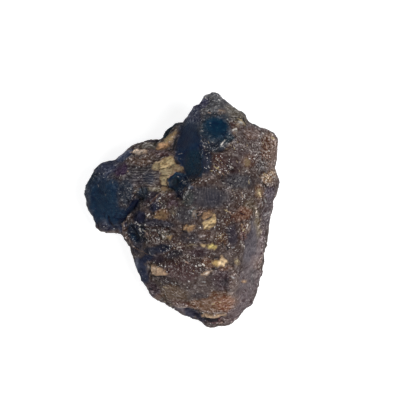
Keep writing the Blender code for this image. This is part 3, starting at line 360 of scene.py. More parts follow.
        (-21, 6.5, -20.8, 5.8), (-17.2, 7, -17.1, 6.4), (-8, -10.1, -7.2, -11.2), (8.5, 15.1, 9, 15.5),
        (7.2, 16, 7.6, 15.6), (-4, -5.6, -3.8, -6.2), (1, 6.4, 1.4, 6.6), (-0.1, 6.1, 0.1, 5.8),
        (1.5, 7.8, 1.9, 7.5), (-0.5, 6.9, -0.2, 7), (0.5, 5, 0.9, 5.4), (1.5, 4, 1.9, 4.2),
        (-0.5, 5.2, -0.1, 5.6)]),
    (WHITE, 0.1, [(0.1, 7.4, 0.5, 7.1)]),
    (WHITE, 0.11, [(1.1, 8.4, 1.4, 8.2)]),
    (RUSSET, 0.09, [(-11.8, -9.6, -10.5, -10.1, -9, -10.6, -8.1, -10.9)]),
    (GREY, 0.1, [(0.4, 8.6, 0.6, 8.4), (0.5, 6.5, 0.8, 6.8)]),
]

# Dark gaps between the crystals: (half width in mm, strokes). They are sunk into the skin and also painted
# near-black as shade.
GAPS = [
    (0.09, [(-5.5, 10.5, -4.5, 10.4, -3.4, 10.6)]),
    (0.1, [(-8.4, -13.4, -8.1, -14.8), (-17, 8.4, -16.2, 7.8), (-6, -3, -4.8, -3.4), (-4, -5.5, -3.2, -5.5),
        (21, 5.9, 21.5, 5.7), (22.5, 10, 23.2, 9.8), (4.2, 15.8, 4.5, 14.8), (3.5, 5.6, 4.2, 5),
        (5.2, 0, 6.5, 0.3), (21.2, 6.9, 22.2, 6.5), (-5.2, 8.5, -4, 8.6, -2.8, 8.5, -2, 9)]),
    (0.12, [(6.2, 16.1, 6.8, 15.6), (11.5, 11.5, 11.6, 10.5), (12.6, 10.1, 13, 9.8), (10.8, 9, 11.5, 8.6),
        (11.4, 1.2, 11.6, 0.2), (12, -0.8, 12.1, -1.8), (10, -7.8, 10.1, -9.2), (12.5, 23.2, 14.5, 22.8),
        (15.2, 22.8, 16, 21), (8, -11.8, 9.2, -11.6), (-7.9, -16.5, -6, -16.7, -4.2, -16.5),
        (-3.5, 8, -3.8, 6.8, -3.2, 5.8), (-1.8, 9.1, -2.8, 8), (-3.5, 14.9, -2.2, 15.6, -1.2, 17),
        (-10.2, 3, -9.8, 2), (-9, 0.5, -8, 1.1), (-5.5, 2.2, -4.8, 1.4), (-3, -3.1, -2, -4),
        (-7.6, -4.7, -6.5, -4.7), (4.5, -7.6, 6, -7.7), (6.9, 23.4, 7.2, 23.3), (20, 6.8, 20.8, 5.9),
        (12.8, -13, 12.9, -14), (7.5, -14.5, 8.8, -14.7), (-5.2, 6.1, -3.8, 6), (0.2, -3.6, 0.2, -5),
        (6.1, -2.3, 7.4, -1.7), (20.5, 8.4, 21.5, 7.5), (21.5, 9.1, 22.5, 8.5)]),
    (0.15, [(5.1, 17.9, 5.2, 17.1), (6.8, 11.5, 7.1, 11.1), (10, 7.4, 10.5, 6.8), (8.5, 9.8, 9.2, 9.7),
        (11, -5.5, 12, -5.7), (15.1, -5.9, 15.5, -7), (-2.5, 5.8, -1.8, 5),
        (-1.8, 13, -1.4, 12, -0.5, 11.5), (-18.5, -1.8, -18.1, -2.8, -17.2, -4.1), (-7.8, -0.9, -6.8, -0.8),
        (-6.1, -5.2, -6, -6.8), (-0.2, -5.2, 1, -5.5), (3.8, -0.8, 4.1, -2.2), (14.5, -0.8, 15.5, -1.1),
        (-1.9, 12.9, -1.6, 12, -1.1, 11.5), (3.9, -2.1, 4.4, -1.4, 5, -0.9)]),
    (0.17, [(8.4, 14.6, 9.1, 15.1), (-4.2, 18.2, -3.2, 19.3, -2.2, 20.5), (-10.2, 5.9, -10, 4.8),
        (-13.4, 2.6, -13, 1.8), (-8.2, -19.5, -7.6, -19.9), (-10.8, -3.5, -10.2, -4.6)]),
    (0.2, [(10.1, 8.5, 9.9, 7.8), (-11.5, 3.8, -11.1, 3.1), (-12.8, -4, -12.2, -5.8, -11.4, -7.2)]),
    (0.23, [(11.1, -9, 11.4, -9.8), (1, -24.9, 2.5, -24.8, 4, -25.1, 5, -26.1),
        (-1.4, 17.8, -1.9, 16.5, -2.2, 15.4)]),
    (0.25, [(-10.9, -5.8, -10, -6.8, -9, -7.5)]),
    (0.28, [(5.6, -27.4, 7, -27.6, 8.8, -27.5)]),
]

# Ridges and cracks of the skin: (height in mm, half width in mm, colour or None, line).
LINES = [
    (0.8, 0.7, None, (-5.5, 16, -3.5, 17, -2, 19, -0.2, 20.8)),
    (0.45, 0.4, "warm brown", (-12.8, -1.2, -14, -2.5, -14.8, -3.5, -14.5, -5.2, -13.8, -7)),
    (0.3, 0.25, "warm brown", (-14.5, -3.2, -14, -5, -13.5, -6.6, -12.8, -8, -12, -9.3)),
    (-0.4, 0.5, "deep teal", (-11, 2.2, -12.5, 0.8, -13.5, -0.8, -15, -2.8)),
    (-0.3, 0.5, "navy", (-13, -4, -12.2, -6, -11, -7.8)),
    (0.3, 0.3, "olive", (-8, -5.2, -6.5, -4.8, -5.5, -5.5, -6, -7)),
    (0.4, 0.6, None, (-9, -3.5, -6.8, -3, -4, -3.2, -1.2, -4.8)),
    (-0.35, 0.3, None, (-7.5, -4.5, -5.5, -4.2, -3.5, -4.8)),
    (-0.25, 0.2, "umber", (-5.5, 12.3, -5.6, 11.2, -5.9, 10.1)),
    (-0.22, 0.18, "umber", (-5.4, 10.3, -4.2, 10.3, -2.9, 10.4, -2.2, 11.2)),
    (-0.22, 0.18, "umber", (-5.2, 8.5, -4, 8.5, -3, 8.8, -2.6, 9.6)),
    (0.25, 0.18, "gold brown", (-9.2, 0.8, -8.4, 1.2, -7.5, 2, -6, 3.5)),
    (0.25, 0.25, None, (20.3, -0.8, 19.5, -3.5, 19.8, -7, 20, -10, 19, -13)),
    (0.35, 0.3, None, (17, -2.2, 15.8, -4.2, 14.8, -6, 15.2, -8.5, 14.8, -10.5)),
    (0.25, 0.25, None, (0.5, 3, 1.5, 4.8, 2.8, 6.5)), (-0.35, 0.3, None, (0.5, 2.5, -0.8, 3.5, -1, 4.5)),
    (0.3, 0.35, None, (-9.2, -12.2, -5.5, -11, -1.5, -12, 2, -12.2, 5.5, -12)),
    (-0.3, 0.3, None, (-9, -12, -8, -13.5, -8.5, -16.2)),
    (-0.3, 0.3, None, (5.8, 15.5, 8, 14.5, 10.5, 14.8)),
    (-0.25, 0.25, None, (9.2, 7.8, 10.4, 8.2, 11, 9.2)),
    (-0.6, 0.3, None, (0.5, -25, 2.5, -24.8, 4.2, -25.2, 5.2, -26.2, 6, -27.2, 8, -27.4, 10, -26.8)),
    (0.3, 0.3, None, (-2, -23, 1.5, -23.9, 4.5, -24.2, 7, -25.4)),
    (0.3, 0.25, None, (4.5, 19, 5.2, 16, 5.5, 13.5, 5.2, 10.5)),
    (0.35, 0.22, "slate mid", (6.2, 23, 7.2, 23.6, 8.8, 23.5, 10.2, 22.8, 11.5, 21.8)),
    (0.3, 0.25, "gold brown", (4.2, -1.8, 4.8, -0.4, 6.2, 0.2, 8, -0.2)),
    (-0.4, 0.25, None, (-18.5, -1.5, -18, -3, -17, -4.2)),
    (0.25, 0.3, None, (-12.2, 14.2, -11, 15, -9.2, 14.8)),
]

# Hollows, and where the stone stands out further than its facets: (height in mm, u, v, half length,
# half width, turn in degrees if any).
PITS = [
    (0.8, -12, -5.8, 2.2, 1.1, -60), (0.5, -10.2, -4, 0.9, 0.7), (0.35, -10.6, 3.2, 1.6, 0.9, -15),
    (0.5, -5, -9.2, 2.1, 0.9, -8), (0.5, -1.8, -10.8, 2.1, 0.7, -12), (0.45, 12.5, -6.2, 1.3, 2.4),
    (0.5, 10, -17.2, 2.8, 1.8), (0.5, 7.8, 16.2, 1.8, 0.8), (0.35, 9.2, 14.5, 1.4, 0.6),
    (0.4, 4, -10.5, 2, 1.2), (0.35, 8.8, 20.8, 2.6, 2.4), (0.5, -10, -2.2, 1, 1.6),
    (0.35, -7, 0.8, 1.8, 0.9, 10), (0.6, 2.5, -25.8, 2.2, 0.8, -25), (0.5, 8, -27.5, 2, 0.5),
    (0.4, -5.9, -6, 0.5, 1.2), (0.3, 1, 7.6, 1.8, 0.8, -20), (0.4, 12.6, 10.2, 1.4, 0.8, 30),
]
SWELLS = [
    (0.6, 5.4, 28.4, 2.4, 1.8, 50), (0.5, -20.5, 12, 3.2, 1.6, 30), (0.5, -21.6, -4.6, 3, 1.8, -40),
    (0.5, -8, -21.6, 4.5, 2.2, -45), (0.5, 9, -28.6, 4.5, 1.5), (0.4, 14.8, 24, 3, 1.8, -45),
    (0.3, -2, 6.8, 1.2, 1, -50), (0.45, -22.3, -3.4, 2.2, 1.6, -45), (0.4, 8.4, 28.9, 2.6, 1.6),
    (0.35, -11, -13.8, 4.5, 2.4, -72),
]

# Where the skin is smooth, and where bright flakes and specks are thick: (share, u, v, half length,
# half width, turn in degrees if any).
SMOOTH = [
    (1, 8.6, 20.8, 3, 2.8), (0.82, 1.8, 15.5, 7.4, 3.2, 82), (0.9, 3, 10.6, 3, 2.4, 60),
    (0.7, 6, 3.3, 5.6, 2.8, -4), (0.62, -19.8, 1.8, 6.6, 4.8, 75), (0.8, 17.2, -10, 9, 2.4, 82),
    (0.65, 16, -18.8, 5, 3.2, 70), (0.6, -1.8, 6.6, 2.4, 1.6, -50), (0.75, -9.8, -15, 5, 1.8, 95),
    (0.6, 15, 14, 2, 1.2), (0.7, 1, -25.4, 3.8, 1.3, -25), (0.7, -6, -15, 2.4, 1.2, -8),
    (0.5, 14, -25, 3.6, 2.2, 30), (0.45, 2, -17, 6.5, 2.2, -8), (0.4, -1.8, -20.2, 4.8, 2, -15),
    (0.35, 16.5, 17.5, 3.2, 3), (0.4, 6.5, -19, 4, 2), (0.5, 4, -21, 3.5, 2.2), (0.45, 13, -22.5, 2.5, 3.2),
    (0.4, 16, 6, 1.8, 1.6), (0.45, 7, -23.6, 4, 1.8), (0.45, 12.5, 24.5, 6.5, 2.4, -40),
    (0.5, 0.6, -1.6, 2.4, 1.6), (0.6, -11.5, -6.5, 2.4, 1.6, -70), (0.6, -7, 5, 1.8, 0.8),
    (0.5, -10.2, -5.6, 2, 1.3, -80), (0.2, 4, -17, 4, 2),
]
GLITTER = [
    (0.6, 5.6, 15, 2.2, 2.8), (1, 8.2, 15.5, 3.6, 1.6), (1, 9.6, 11.2, 3.6, 3.6),
    (0.85, 14.5, 16.8, 3.8, 3.2), (0.75, 19.6, 14.5, 3.4, 5.2), (0.45, 8, 26, 4.8, 3.2),
    (0.9, 14, 22, 3.2, 2.6), (1, 21.5, 7.5, 2.6, 3), (0.4, 3.5, 23.5, 2.6, 3.6), (0.5, -6.8, 2.5, 4.8, 2.6),
    (0.9, -6.8, -5.8, 4.8, 3.2), (1, -1.2, -9, 3, 2), (1, -11.2, -5.4, 2.8, 3.2), (0.5, -13.8, 4.2, 2.6, 4),
    (0.4, -10.5, 11.8, 5.2, 2.6), (0.4, -18, -4.6, 3.6, 1.2), (0.8, 10.2, -6.2, 2.4, 3.6),
    (0.6, 10, -3, 4.2, 2.2), (0.7, -0.5, -14.5, 9.5, 2.8), (0.5, -4.2, -18, 5.2, 2.2),
    (0.35, 8.5, -23, 5.8, 2.8), (0.55, 14.5, 3.8, 3.2, 3.2), (0.9, 2, 7.2, 3.2, 1.5),
    (0.5, 5.8, -12, 4.4, 2.2), (0.45, 9.5, -17.2, 3.2, 2.2), (0.8, 16.2, -5.6, 1.8, 4),
    (0.8, 0.8, 4.2, 2.8, 2.2), (0.8, -11, 3, 1.8, 1.8), (0.8, -3, -10.4, 3.8, 1.3, -17),
]

# Where the stone parts in fine lines, as one spot like those above.
ROOF_LINES = (1, -8.4, 9.4, 5.4, 4.8, -10)
PLATEAU_LINES = (1, 9.5, 5, 9, 4.2)
# fmt: on

# Relief of the broken skin, each as (size, height) in mm.
BROAD_SWELL, RIDGES, FINE_GRAIN = (5.0, 0.35), (2.4, 0.15), (0.55, 0.06)
BIG_CRYSTALS, SMALL_CRYSTALS = (2.1, 0.2), (0.95, 0.13)
ROOF_STEPS, PLATEAU_STEPS = (0.95, 0.04), (0.8, 0.012)
GRAIN_RISE, FLECK_RISE, GAP_DEPTH = 0.12, 0.1, 0.22
POLISH = 0.92  # how much of the relief a smooth area loses

# Numbers that turn the place of a crystal into a tilt and a lift that look random.
SCATTER = np.array([[12.99, 39.35, 73.16], [78.23, 11.14, 52.24], [37.72, 83.16, 19.87]])
TILT_HASH, LIFT_HASH = 43758.5453, 9631.17

# How far the edges of areas wander, each as (wavelength, reach) in mm.
RELIEF_WANDER, FINE_WANDER, WIDE_WANDER, FAR_WANDER = (1.7, 0.45), (0.7, 0.28), (1.9, 0.4), (2.2, 1.3)

# Random spots on the sides and the back: (how many, smallest radius, largest radius in mm).
FAR_PATCHES, FAR_GLASS, FAR_GRAINS = (42, 2.0, 6.0), (9, 2.5, 5.0), (46, 0.4, 1.7)
FAR_PATCH_TONES = (
    "rust", "slate violet", "olive", "purple brown", "flank lavender", "shoulder brown", "bottom dark"
)  # fmt: skip
FAR_GLASS_TONES = ("navy", "lobe blue", "deep teal")
FAR_GRAIN_COLOURS = (CREAM, ORANGE, PINKISH, GREY, YELLOW)
FAR_GLOSS = 0.6
FAR_PATCH_SHARE, FAR_GLASS_SHARE, FAR_GLITTER = 0.7, 0.85, 0.5

SEEN, UNSEEN = 0.4, 0.5  # from where on a point counts as on the best face, or as away from it
TONE_PATCHES, PURPLE_SHARE = 4.0, 0.35  # size in mm and strength of the purple drifts in the ground
LINE_SHARE = 0.75
NEAR_ROUNDS, WIDE_ROUNDS = 5, 26  # how often the skin is evened out to find its hollows


# -- Helpers ---------------------------------------------------------------------------------


def linear(rgb):
    """8-bit sRGB as linear colour."""
    c = np.array(rgb) / 255
    return np.where(c <= 0.04045, c / 12.92, ((c + 0.055) / 1.055) ** 2.4)


def rgba(colour):
    return (*linear(colour), 1.0)


def smooth_step(x, low=0.0, high=1.0):
    t = ((x - low) / (high - low)).clip(0, 1)
    return t * t * (3 - 2 * t)


def in_world(u, v, w):
    """Survey places in millimetres as world points in metres."""
    return np.array([u - MIDDLE[0], v * COS - w * SIN - MIDDLE[1], v * SIN + w * COS]).T * MM


def leaned_back(vectors):
    """World vectors in the directions u, v and w."""
    x, y, z = vectors.T
    return np.column_stack([x, y * COS + z * SIN, z * COS - y * SIN])


def sample(points, wavelength, shift=0.0):
    """A smooth noise at every point, for features about as wide as the wavelength."""
    return np.array([noise.noise(Vector(p)) for p in points / wavelength + shift])


def drift(points, wavelength, reach):
    """A shift in all three directions that changes over a wavelength."""
    return np.array([noise.noise_vector(Vector(p)) for p in points / wavelength]) * reach


def wobble(points, wavelength, reach):
    """A shift in (u, v) that changes over a wavelength."""
    return np.column_stack([sample(points, wavelength, 2.2), sample(points, wavelength, 6.6)]) * reach


def crystals(points, width, shift=0.0):
    """Heights of flat tilted crystal faces about as wide as given, from about -1 to 1."""
    scaled = points / width + shift
    sites = np.array([noise.voronoi(Vector(p))[1][0] for p in scaled])
    keys = np.sin(sites @ SCATTER)
    tilts = (keys * TILT_HASH) % 1.0 * 2 - 1
    lift = (keys[:, 0] * LIFT_HASH) % 1.0 - 0.5
    return ((scaled - sites) * tilts).sum(axis=1) * 1.2 + lift * 0.5


def ellipse(places, u, v, long, short, turn=0):
    """How deep each place is inside an ellipse: 1 in the middle, 0 at the edge, negative outside."""
    c, s = math.cos(math.radians(turn)), math.sin(math.radians(turn))
    du, dv = places[:, 0] - u, places[:, 1] - v
    return 1 - np.hypot((du * c + dv * s) / long, (dv * c - du * s) / short)


def strongest(places, spots, facing):
    """The strongest of several soft ellipses at each place, on the best face only."""
    shares = [share * smooth_step(ellipse(places, *spot), 0, 0.3) for share, *spot in spots]
    return np.max(shares, axis=0) * facing


def off_line(places, line):
    """Distance in millimetres of each place from a line."""
    corners = np.reshape(line, (-1, 2))
    best = np.full(len(places), np.inf)
    for start, end in zip(corners[:-1], corners[1:], strict=True):
        along = end - start
        t = (((places - start) @ along) / (along @ along)).clip(0, 1)
        best = np.minimum(best, np.linalg.norm(places - start - t[:, None] * along, axis=1))
    return best


def depth_inside(places, outline):
    """Distance in millimetres inside an outline, negative outside it."""
    corners = np.reshape(outline, (-1, 2))
    inside = np.zeros(len(places), dtype=bool)
    for (u0, v0), (u1, v1) in zip(corners, np.roll(corners, -1, axis=0), strict=True):
        if v0 != v1:
            crosses = (places[:, 1] < v0) != (places[:, 1] < v1)
            inside ^= crosses & (places[:, 0] < u0 + (places[:, 1] - v0) * (u1 - u0) / (v1 - v0))
    gap = off_line(places, [*outline, *outline[:2]])
    return np.where(inside, gap, -gap)


def deepest(places, groups):
    """How deep each place is inside the strokes of groups of (half width, strokes), in millimetres."""
    depths = [width - off_line(places, line) for width, lines in groups for line in lines]
    return np.max(depths, axis=0)


def neighbour_mean(values, edges, rounds):
    """Values of the vertices, averaged again and again with their neighbours'."""
    count = np.bincount(edges.ravel(), minlength=len(values))[:, None]
    for _ in range(rounds):
        total = np.zeros_like(values)
        np.add.at(total, edges[:, 0], values[edges[:, 1]])
        np.add.at(total, edges[:, 1], values[edges[:, 0]])
        values = 0.5 * values + 0.5 * total / count
    return values


def in_scene(obj):
    bpy.context.scene.collection.objects.link(obj)
    return obj


def new_material(name):
    """A material with its shader."""
    material = bpy.data.materials.new(name)
    material.use_nodes = True
    return material, material.node_tree.nodes["Principled BSDF"]


# -- The skin --------------------------------------------------------------------------------


def with_modifier(obj, kind, **settings):
    """Gives the object the mesh that one modifier makes of it."""
    modifier = obj.modifiers.new(kind.title(), kind)
    for key, value in settings.items():
        setattr(modifier, key, value)
    graph = bpy.context.evaluated_depsgraph_get()
    made = bpy.data.meshes.new_from_object(obj.evaluated_get(graph))
    obj.modifiers.clear()
    obj.data = made


def base_skin():
    """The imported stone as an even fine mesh, with its facets worn a little."""
    skin = in_scene(bpy.data.objects.new("stone_skin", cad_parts[NODE].data.copy()))
    with_modifier(skin, "REMESH", mode="VOXEL", voxel_size=MESH_STEP * MM)
    with_modifier(skin, "SMOOTH", factor=0.5, iterations=4)
    return skin


def read(items, field, width, kind=float):
    """One field of a mesh's items, as rows."""
    values = np.empty(len(items) * width, dtype=kind)
    items.foreach_get(field, values)
    return values.reshape(-1, width)


def mesh_arrays(mesh):
    """A mesh's points in survey millimetres, its normals in the survey frame, and its edges."""
    points = read(mesh.vertices, "co", 3) / MM + (*MIDDLE, 0)
    normals = leaned_back(read(mesh.vertices, "normal", 3))
    return leaned_back(points), normals, read(mesh.edges, "vertices", 2, np.int32)


def set_survey_points(mesh, points):
    """Moves the vertices to survey points, none of them below the resting plane."""
    world = in_world(*points.T)
    world[:, 2] = world[:, 2].clip(0, None)
    mesh.vertices.foreach_set("co", world.ravel())
    mesh.update()


def broken_relief(points, wander, rough):
    """Heights of the broad swell, crystal faces, ridges and fine grain, in millimetres."""
    ridges = 0.5 - np.abs(sample(points + wander * 2, RIDGES[0], 3.1)) * 2
    big = crystals(points + wander, BIG_CRYSTALS[0])
    small = crystals(points + wander * 0.5, SMALL_CRYSTALS[0], 4.3)
    fine = sample(points, FINE_GRAIN[0], 9.2)
    relief = RIDGES[1] * ridges + BIG_CRYSTALS[1] * big + SMALL_CRYSTALS[1] * small + FINE_GRAIN[1] * fine
    return sample(points, BROAD_SWELL[0]) * BROAD_SWELL[1] + rough * relief


def steps(across, spacing, height):
    return height * np.sin(across * 2 * math.pi / spacing)


def shape_skin(skin):
    """Breaks the even skin up into crystal faces, ledges, pits, ridges and cracks."""
    points, normals, _ = mesh_arrays(skin.data)
    over_floor = points[:, 1] * SIN + points[:, 2] * COS
    wander = drift(points, *RELIEF_WANDER)
    flat, places = points[:, :2], (points + wander)[:, :2]
    facing = smooth_step(normals[:, 2], -0.15, 0.15)
    smooth = strongest(places, SMOOTH, facing)
    roof = strongest(places, [ROOF_LINES], facing)
    plateau = strongest(places, [PLATEAU_LINES], facing)
    gap = deepest(flat, GAPS)
    fleck = deepest(flat, [group[1:] for group in FLECKS])

    push = broken_relief(points, wander, 1 - POLISH * smooth)
    push += roof * steps(places[:, 1] + 0.06 * places[:, 0], *ROOF_STEPS)
    push += plateau * steps(places[:, 0], *PLATEAU_STEPS)
    for depth, *spot in PITS:
        push -= depth * facing * smooth_step(ellipse(places, *spot), -0.15, 0.7)
    for rise, *spot in SWELLS:
        push += rise * smooth_step(ellipse(places, *spot), 0, 0.8)
    for rise, width, _, line in LINES:
        push += rise * facing * smooth_step(1 - off_line(places, line) / (1.6 * width))
    grain = np.max([depth_inside(places, outline) for _, outline in GRAINS], axis=0)
    push += GRAIN_RISE * facing * smooth_step(grain, -0.15, 0.25)
    push -= GAP_DEPTH * facing * smooth_step(gap, -0.2, 0.1)
    push += FLECK_RISE * facing * smooth_step(fleck, -0.15, 0.1)
    push *= smooth_step(over_floor, 0.15, 1.2)
    set_survey_points(skin.data, points + normals * push[:, None])

    cover = {"smooth": smooth, "roof": roof, "plateau": plateau}
    cover["gap"], cover["fleck"] = (np.where(facing > SEEN, depth, OUTSIDE) for depth in (gap, fleck))
    return flat, facing, cover


# -- Colours of the skin ---------------------------------------------------------------------


def paint(colours, colour, share):
    """Lays a colour over some of the others."""
    return colours + (linear(colour) - colours) * share[:, None]


class Places:
    """The skin's points, with copies that wander for ragged edges, and which way they face."""

    def __init__(self, skin, flat, facing):
        self.points, self.normals, self.edges = mesh_arrays(skin.data)
        self.flat, self.facing, self.away = flat, facing, 1 - facing
        self.warped = flat + wobble(self.points, *FINE_WANDER) + wobble(self.points, *WIDE_WANDER)
        self.scattered = self.points + drift(self.points, *FAR_WANDER)
        self.broad = smooth_step(sample(self.points, TONE_PATCHES, 1.3), -0.35, 0.35)
        self.rng = np.random.default_rng(SEED)

    def far_spots(self, count, low, high):
        """Random round spots off the best face: (number, offset of every point, radius)."""
        chosen = self.rng.choice(np.flatnonzero(self.away > UNSEEN), count, replace=False)
        spots = [(self.points[index], self.rng.uniform(low, high)) for index in chosen]
        for number, (centre, radius) in enumerate(spots):
            yield number, self.scattered - centre, radius


def ground_tones(at):
    """The colours of the areas."""
    tone = np.tile(linear(TONES["ground"]), (len(at.points), 1))
    tone = paint(tone, TONES["purple brown"], PURPLE_SHARE * at.broad)
    for name, share, *spot in ZONES:
        inside = smooth_step(ellipse(at.warped, *spot), -0.2, 0.4) * at.facing * share
        tone = paint(tone, TONES[name], inside)
    for number, offset, radius in at.far_spots(*FAR_PATCHES):
        inside = smooth_step(1 - np.linalg.norm(offset, axis=1) / radius, 0, 0.5)
        name = FAR_PATCH_TONES[number % len(FAR_PATCH_TONES)]
        tone = paint(tone, TONES[name], FAR_PATCH_SHARE * inside * at.away)
    return tone


def glass_and_line_tones(at, tone):
    """The colours with the glassy faces and the lines over them, and how glossy the skin is."""
    gloss = np.zeros(len(at.points))
    for name, shine, softness, outline in GLASS:
        inside = smooth_step(depth_inside(at.warped, outline), -softness / 2, softness / 2) * at.facing
        tone = paint(tone, TONES[name], inside)
        gloss = np.maximum(gloss, shine * inside)
    torn = sample(at.points, 1.6, 5.5) * 0.5 + sample(at.points, 0.6, 7.7) * 0.2
    for number, offset, radius in at.far_spots(*FAR_GLASS):
        inside = smooth_step(1 - np.linalg.norm(offset, axis=1) / radius + torn, 0, 0.45) * at.away
        name = FAR_GLASS_TONES[number % len(FAR_GLASS_TONES)]
        tone = paint(tone, TONES[name], FAR_GLASS_SHARE * inside)
        gloss = np.maximum(gloss, FAR_GLOSS * inside)
    for _, width, name, line in LINES:
        if name:
            near = smooth_step(1.3 - off_line(at.flat, line) / width) * at.facing
            tone = paint(tone, TONES[name], LINE_SHARE * near)
    return tone, gloss


def grain_tones(at):
    """How deep each point is in a pale grain, and the colours of the grains."""
    grain = np.full(len(at.points), OUTSIDE)
    tone = np.tile(linear(CREAM), (len(at.points), 1))
    for colour, outline in GRAINS:
        depth = depth_inside(at.warped, outline)
        grain = np.maximum(grain, np.where(at.facing > SEEN, depth, OUTSIDE))
        tone = paint(tone, colour, smooth_step(depth, -0.35, 0.15))
    for number, offset, radius in at.far_spots(*FAR_GRAINS):
        depth = radius - np.linalg.norm(offset * (1, 1.5, 1), axis=1)
        grain = np.maximum(grain, np.where(at.away > UNSEEN, depth, OUTSIDE))
        colour = FAR_GRAIN_COLOURS[number % len(FAR_GRAIN_COLOURS)]
        tone = paint(tone, colour, smooth_step(depth, -0.3, 0.1) * at.away)
    return grain, tone


def fleck_tones(at):
    """The colour of the nearest bright fleck."""
    tone = np.tile(linear(CREAM), (len(at.points), 1))
    for colour, width, strokes in FLECKS:
        for line in strokes:
            tone = paint(tone, colour, smooth_step(width - off_line(at.flat, line), -0.3, 0))
    return tone


def colour_skin(skin, flat, facing, cover):
    """Lays the minerals out over the stone, and hands them to the material as attributes."""
    at = Places(skin, flat, facing)
    tone, gloss = glass_and_line_tones(at, ground_tones(at))
    grain, grain_tone = grain_tones(at)
    near = neighbour_mean(at.points, at.edges, NEAR_ROUNDS)
    wide = neighbour_mean(near, at.edges, WIDE_ROUNDS)
    numbers = {
        **cover,
        "gloss": gloss,
        "grain": grain,
        "glitter": np.maximum(strongest(at.warped, GLITTER, facing), at.away * FAR_GLITTER * at.broad),
        # hollow and hollow_wide tell the material where to paint shade into hollows and light onto crests.
        "hollow": ((near - at.points) * at.normals).sum(axis=1),
        "hollow_wide": ((wide - at.points) * at.normals).sum(axis=1),
    }
    for name, values in numbers.items():
        data = skin.data.attributes.new(name, "FLOAT", "POINT").data
        data.foreach_set("value", values.clip(-2, 2))
    for name, colours in (("tone", tone), ("grain_tone", grain_tone), ("fleck_tone", fleck_tones(at))):
        data = skin.data.attributes.new(name, "FLOAT_COLOR", "POINT").data
        data.foreach_set("color", np.column_stack([colours, np.ones(len(colours))]).ravel())


# -- The material ----------------------------------------------------------------------------


class Graph:
    """A short way to write node trees: every method returns an output socket."""

    def __init__(self, material):
        self.nodes = material.node_tree.nodes
        self.links = material.node_tree.links
        self.place = self.vector("SCALE", self.node("TexCoord", output="Object"), scale=1 / MM)
        self.drawn_out = self.vector("MULTIPLY", self.place, (0.62, 1.0, 1.0))
        self.layered = self.vector("MULTIPLY", self.place, (0.3, 1.0, 1.0))
        shift = self.vector("SCALE", self.noise(0.9, 2.0, output="Color"), scale=0.7)
        self.torn = self.vector("ADD", self.drawn_out, shift)

    def put(self, socket, value):
        if isinstance(value, bpy.types.NodeSocket):
            self.links.new(value, socket)
        else:
            socket.default_value = value

    def node(self, kind, inputs=None, output=0, **settings):
        """A new node, with values or sockets put into its inputs."""
        node = self.nodes.new("ShaderNode" + kind)
        for key, value in settings.items():
            setattr(node, key, value)
        for key, value in (inputs or {}).items():
            if value is not None:
                self.put(node.inputs[key], value)
        return node.outputs[output]

    def attribute(self, name, output="Fac"):
        return self.node("Attribute", output=output, attribute_name=name)

    def math(self, operation, a, b=None, clamp=False):
        return self.node("Math", {0: a, 1: b}, operation=operation, use_clamp=clamp)

    def times(self, first, *others):
        for other in others:
            first = self.math("MULTIPLY", first, other)
        return first

    def vector(self, operation, a, b=None, scale=None):
        return self.node("VectorMath", {0: a, 1: b, "Scale": scale}, operation=operation)

    def noise(self, wavelength, detail=3.0, roughness=0.55, distortion=0.0, place=None, output="Fac"):
        inputs = {"Vector": place or self.place, "Scale": 1 / wavelength, "Detail": detail}
        return self.node("TexNoise", {**inputs, "Roughness": roughness, "Distortion": distortion}, output)

    def centred(self, reach, *noise):
        """Noise from about -reach / 2 to reach / 2."""
        return self.times(self.math("SUBTRACT", self.noise(*noise), 0.5), reach)

    def cells(self, width, place=None, output="Distance", **settings):
        inputs = {"Vector": place or self.place, "Scale": 1 / width}
        return self.node("TexVoronoi", inputs, output, **settings)

    def seams(self, width, low, high, strength=1.0):
        """Lines along the edges of cells: full up to low, fading out at high, as shares of the width."""
        edge = self.cells(width, self.torn, feature="DISTANCE_TO_EDGE")
        return self.ramp(edge, low, high, strength, 0.0)

    def keys(self, width, place=None):
        """A number from 0 to 1 for each cell."""
        return self.node("SeparateColor", {0: self.cells(width, place, "Color")})

    def flakes(self, width, rarity, place):
        """Small flakes in some of the cells: in fewer of them, the nearer rarity is to 1."""
        pick = self.keys(width, place)
        size = self.ramp(self.cells(width, place), 0.38, 0.22)
        return self.times(size, self.math("GREATER_THAN", pick, rarity))

    def ramp(self, value, low, high, to_low=0.0, to_high=1.0):
        inputs = dict(enumerate((value, low, high, to_low, to_high)))
        return self.node("MapRange", inputs, interpolation_type="SMOOTHSTEP")

    def mix(self, factor, a, b, blend="MIX"):
        return self.node("Mix", {"Factor": factor, 6: a, 7: b}, 2, data_type="RGBA", blend_type=blend)

    def tint(self, colour, by, amount):
        """A colour multiplied by another, to some amount."""
        return self.mix(amount, colour, self.mix(1.0, colour, by, "MULTIPLY"))

    def grey(self, value):
        """A number as a grey colour."""
        return self.node("CombineColor", {0: value, 1: value, 2: value})

    def shade(self, colour, value, amount=1.0):
        """A colour multiplied by a number, to some amount."""
        return self.tint(colour, self.grey(value), amount)

    def stops(self, value, stops, interpolation="LINEAR"):
        """A colour picked along stops of (position, red, green, blue), as linear colour."""
        output = self.node("ValToRGB", {"Fac": value}, "Color")
        ramp = output.node.color_ramp
        ramp.interpolation = interpolation
        while len(ramp.elements) < len(stops):
            ramp.elements.new(1.0)
        for element, (position, *colour) in zip(ramp.elements, stops, strict=True):
            element.position = position
            element.color = (*colour, 1)
        return output


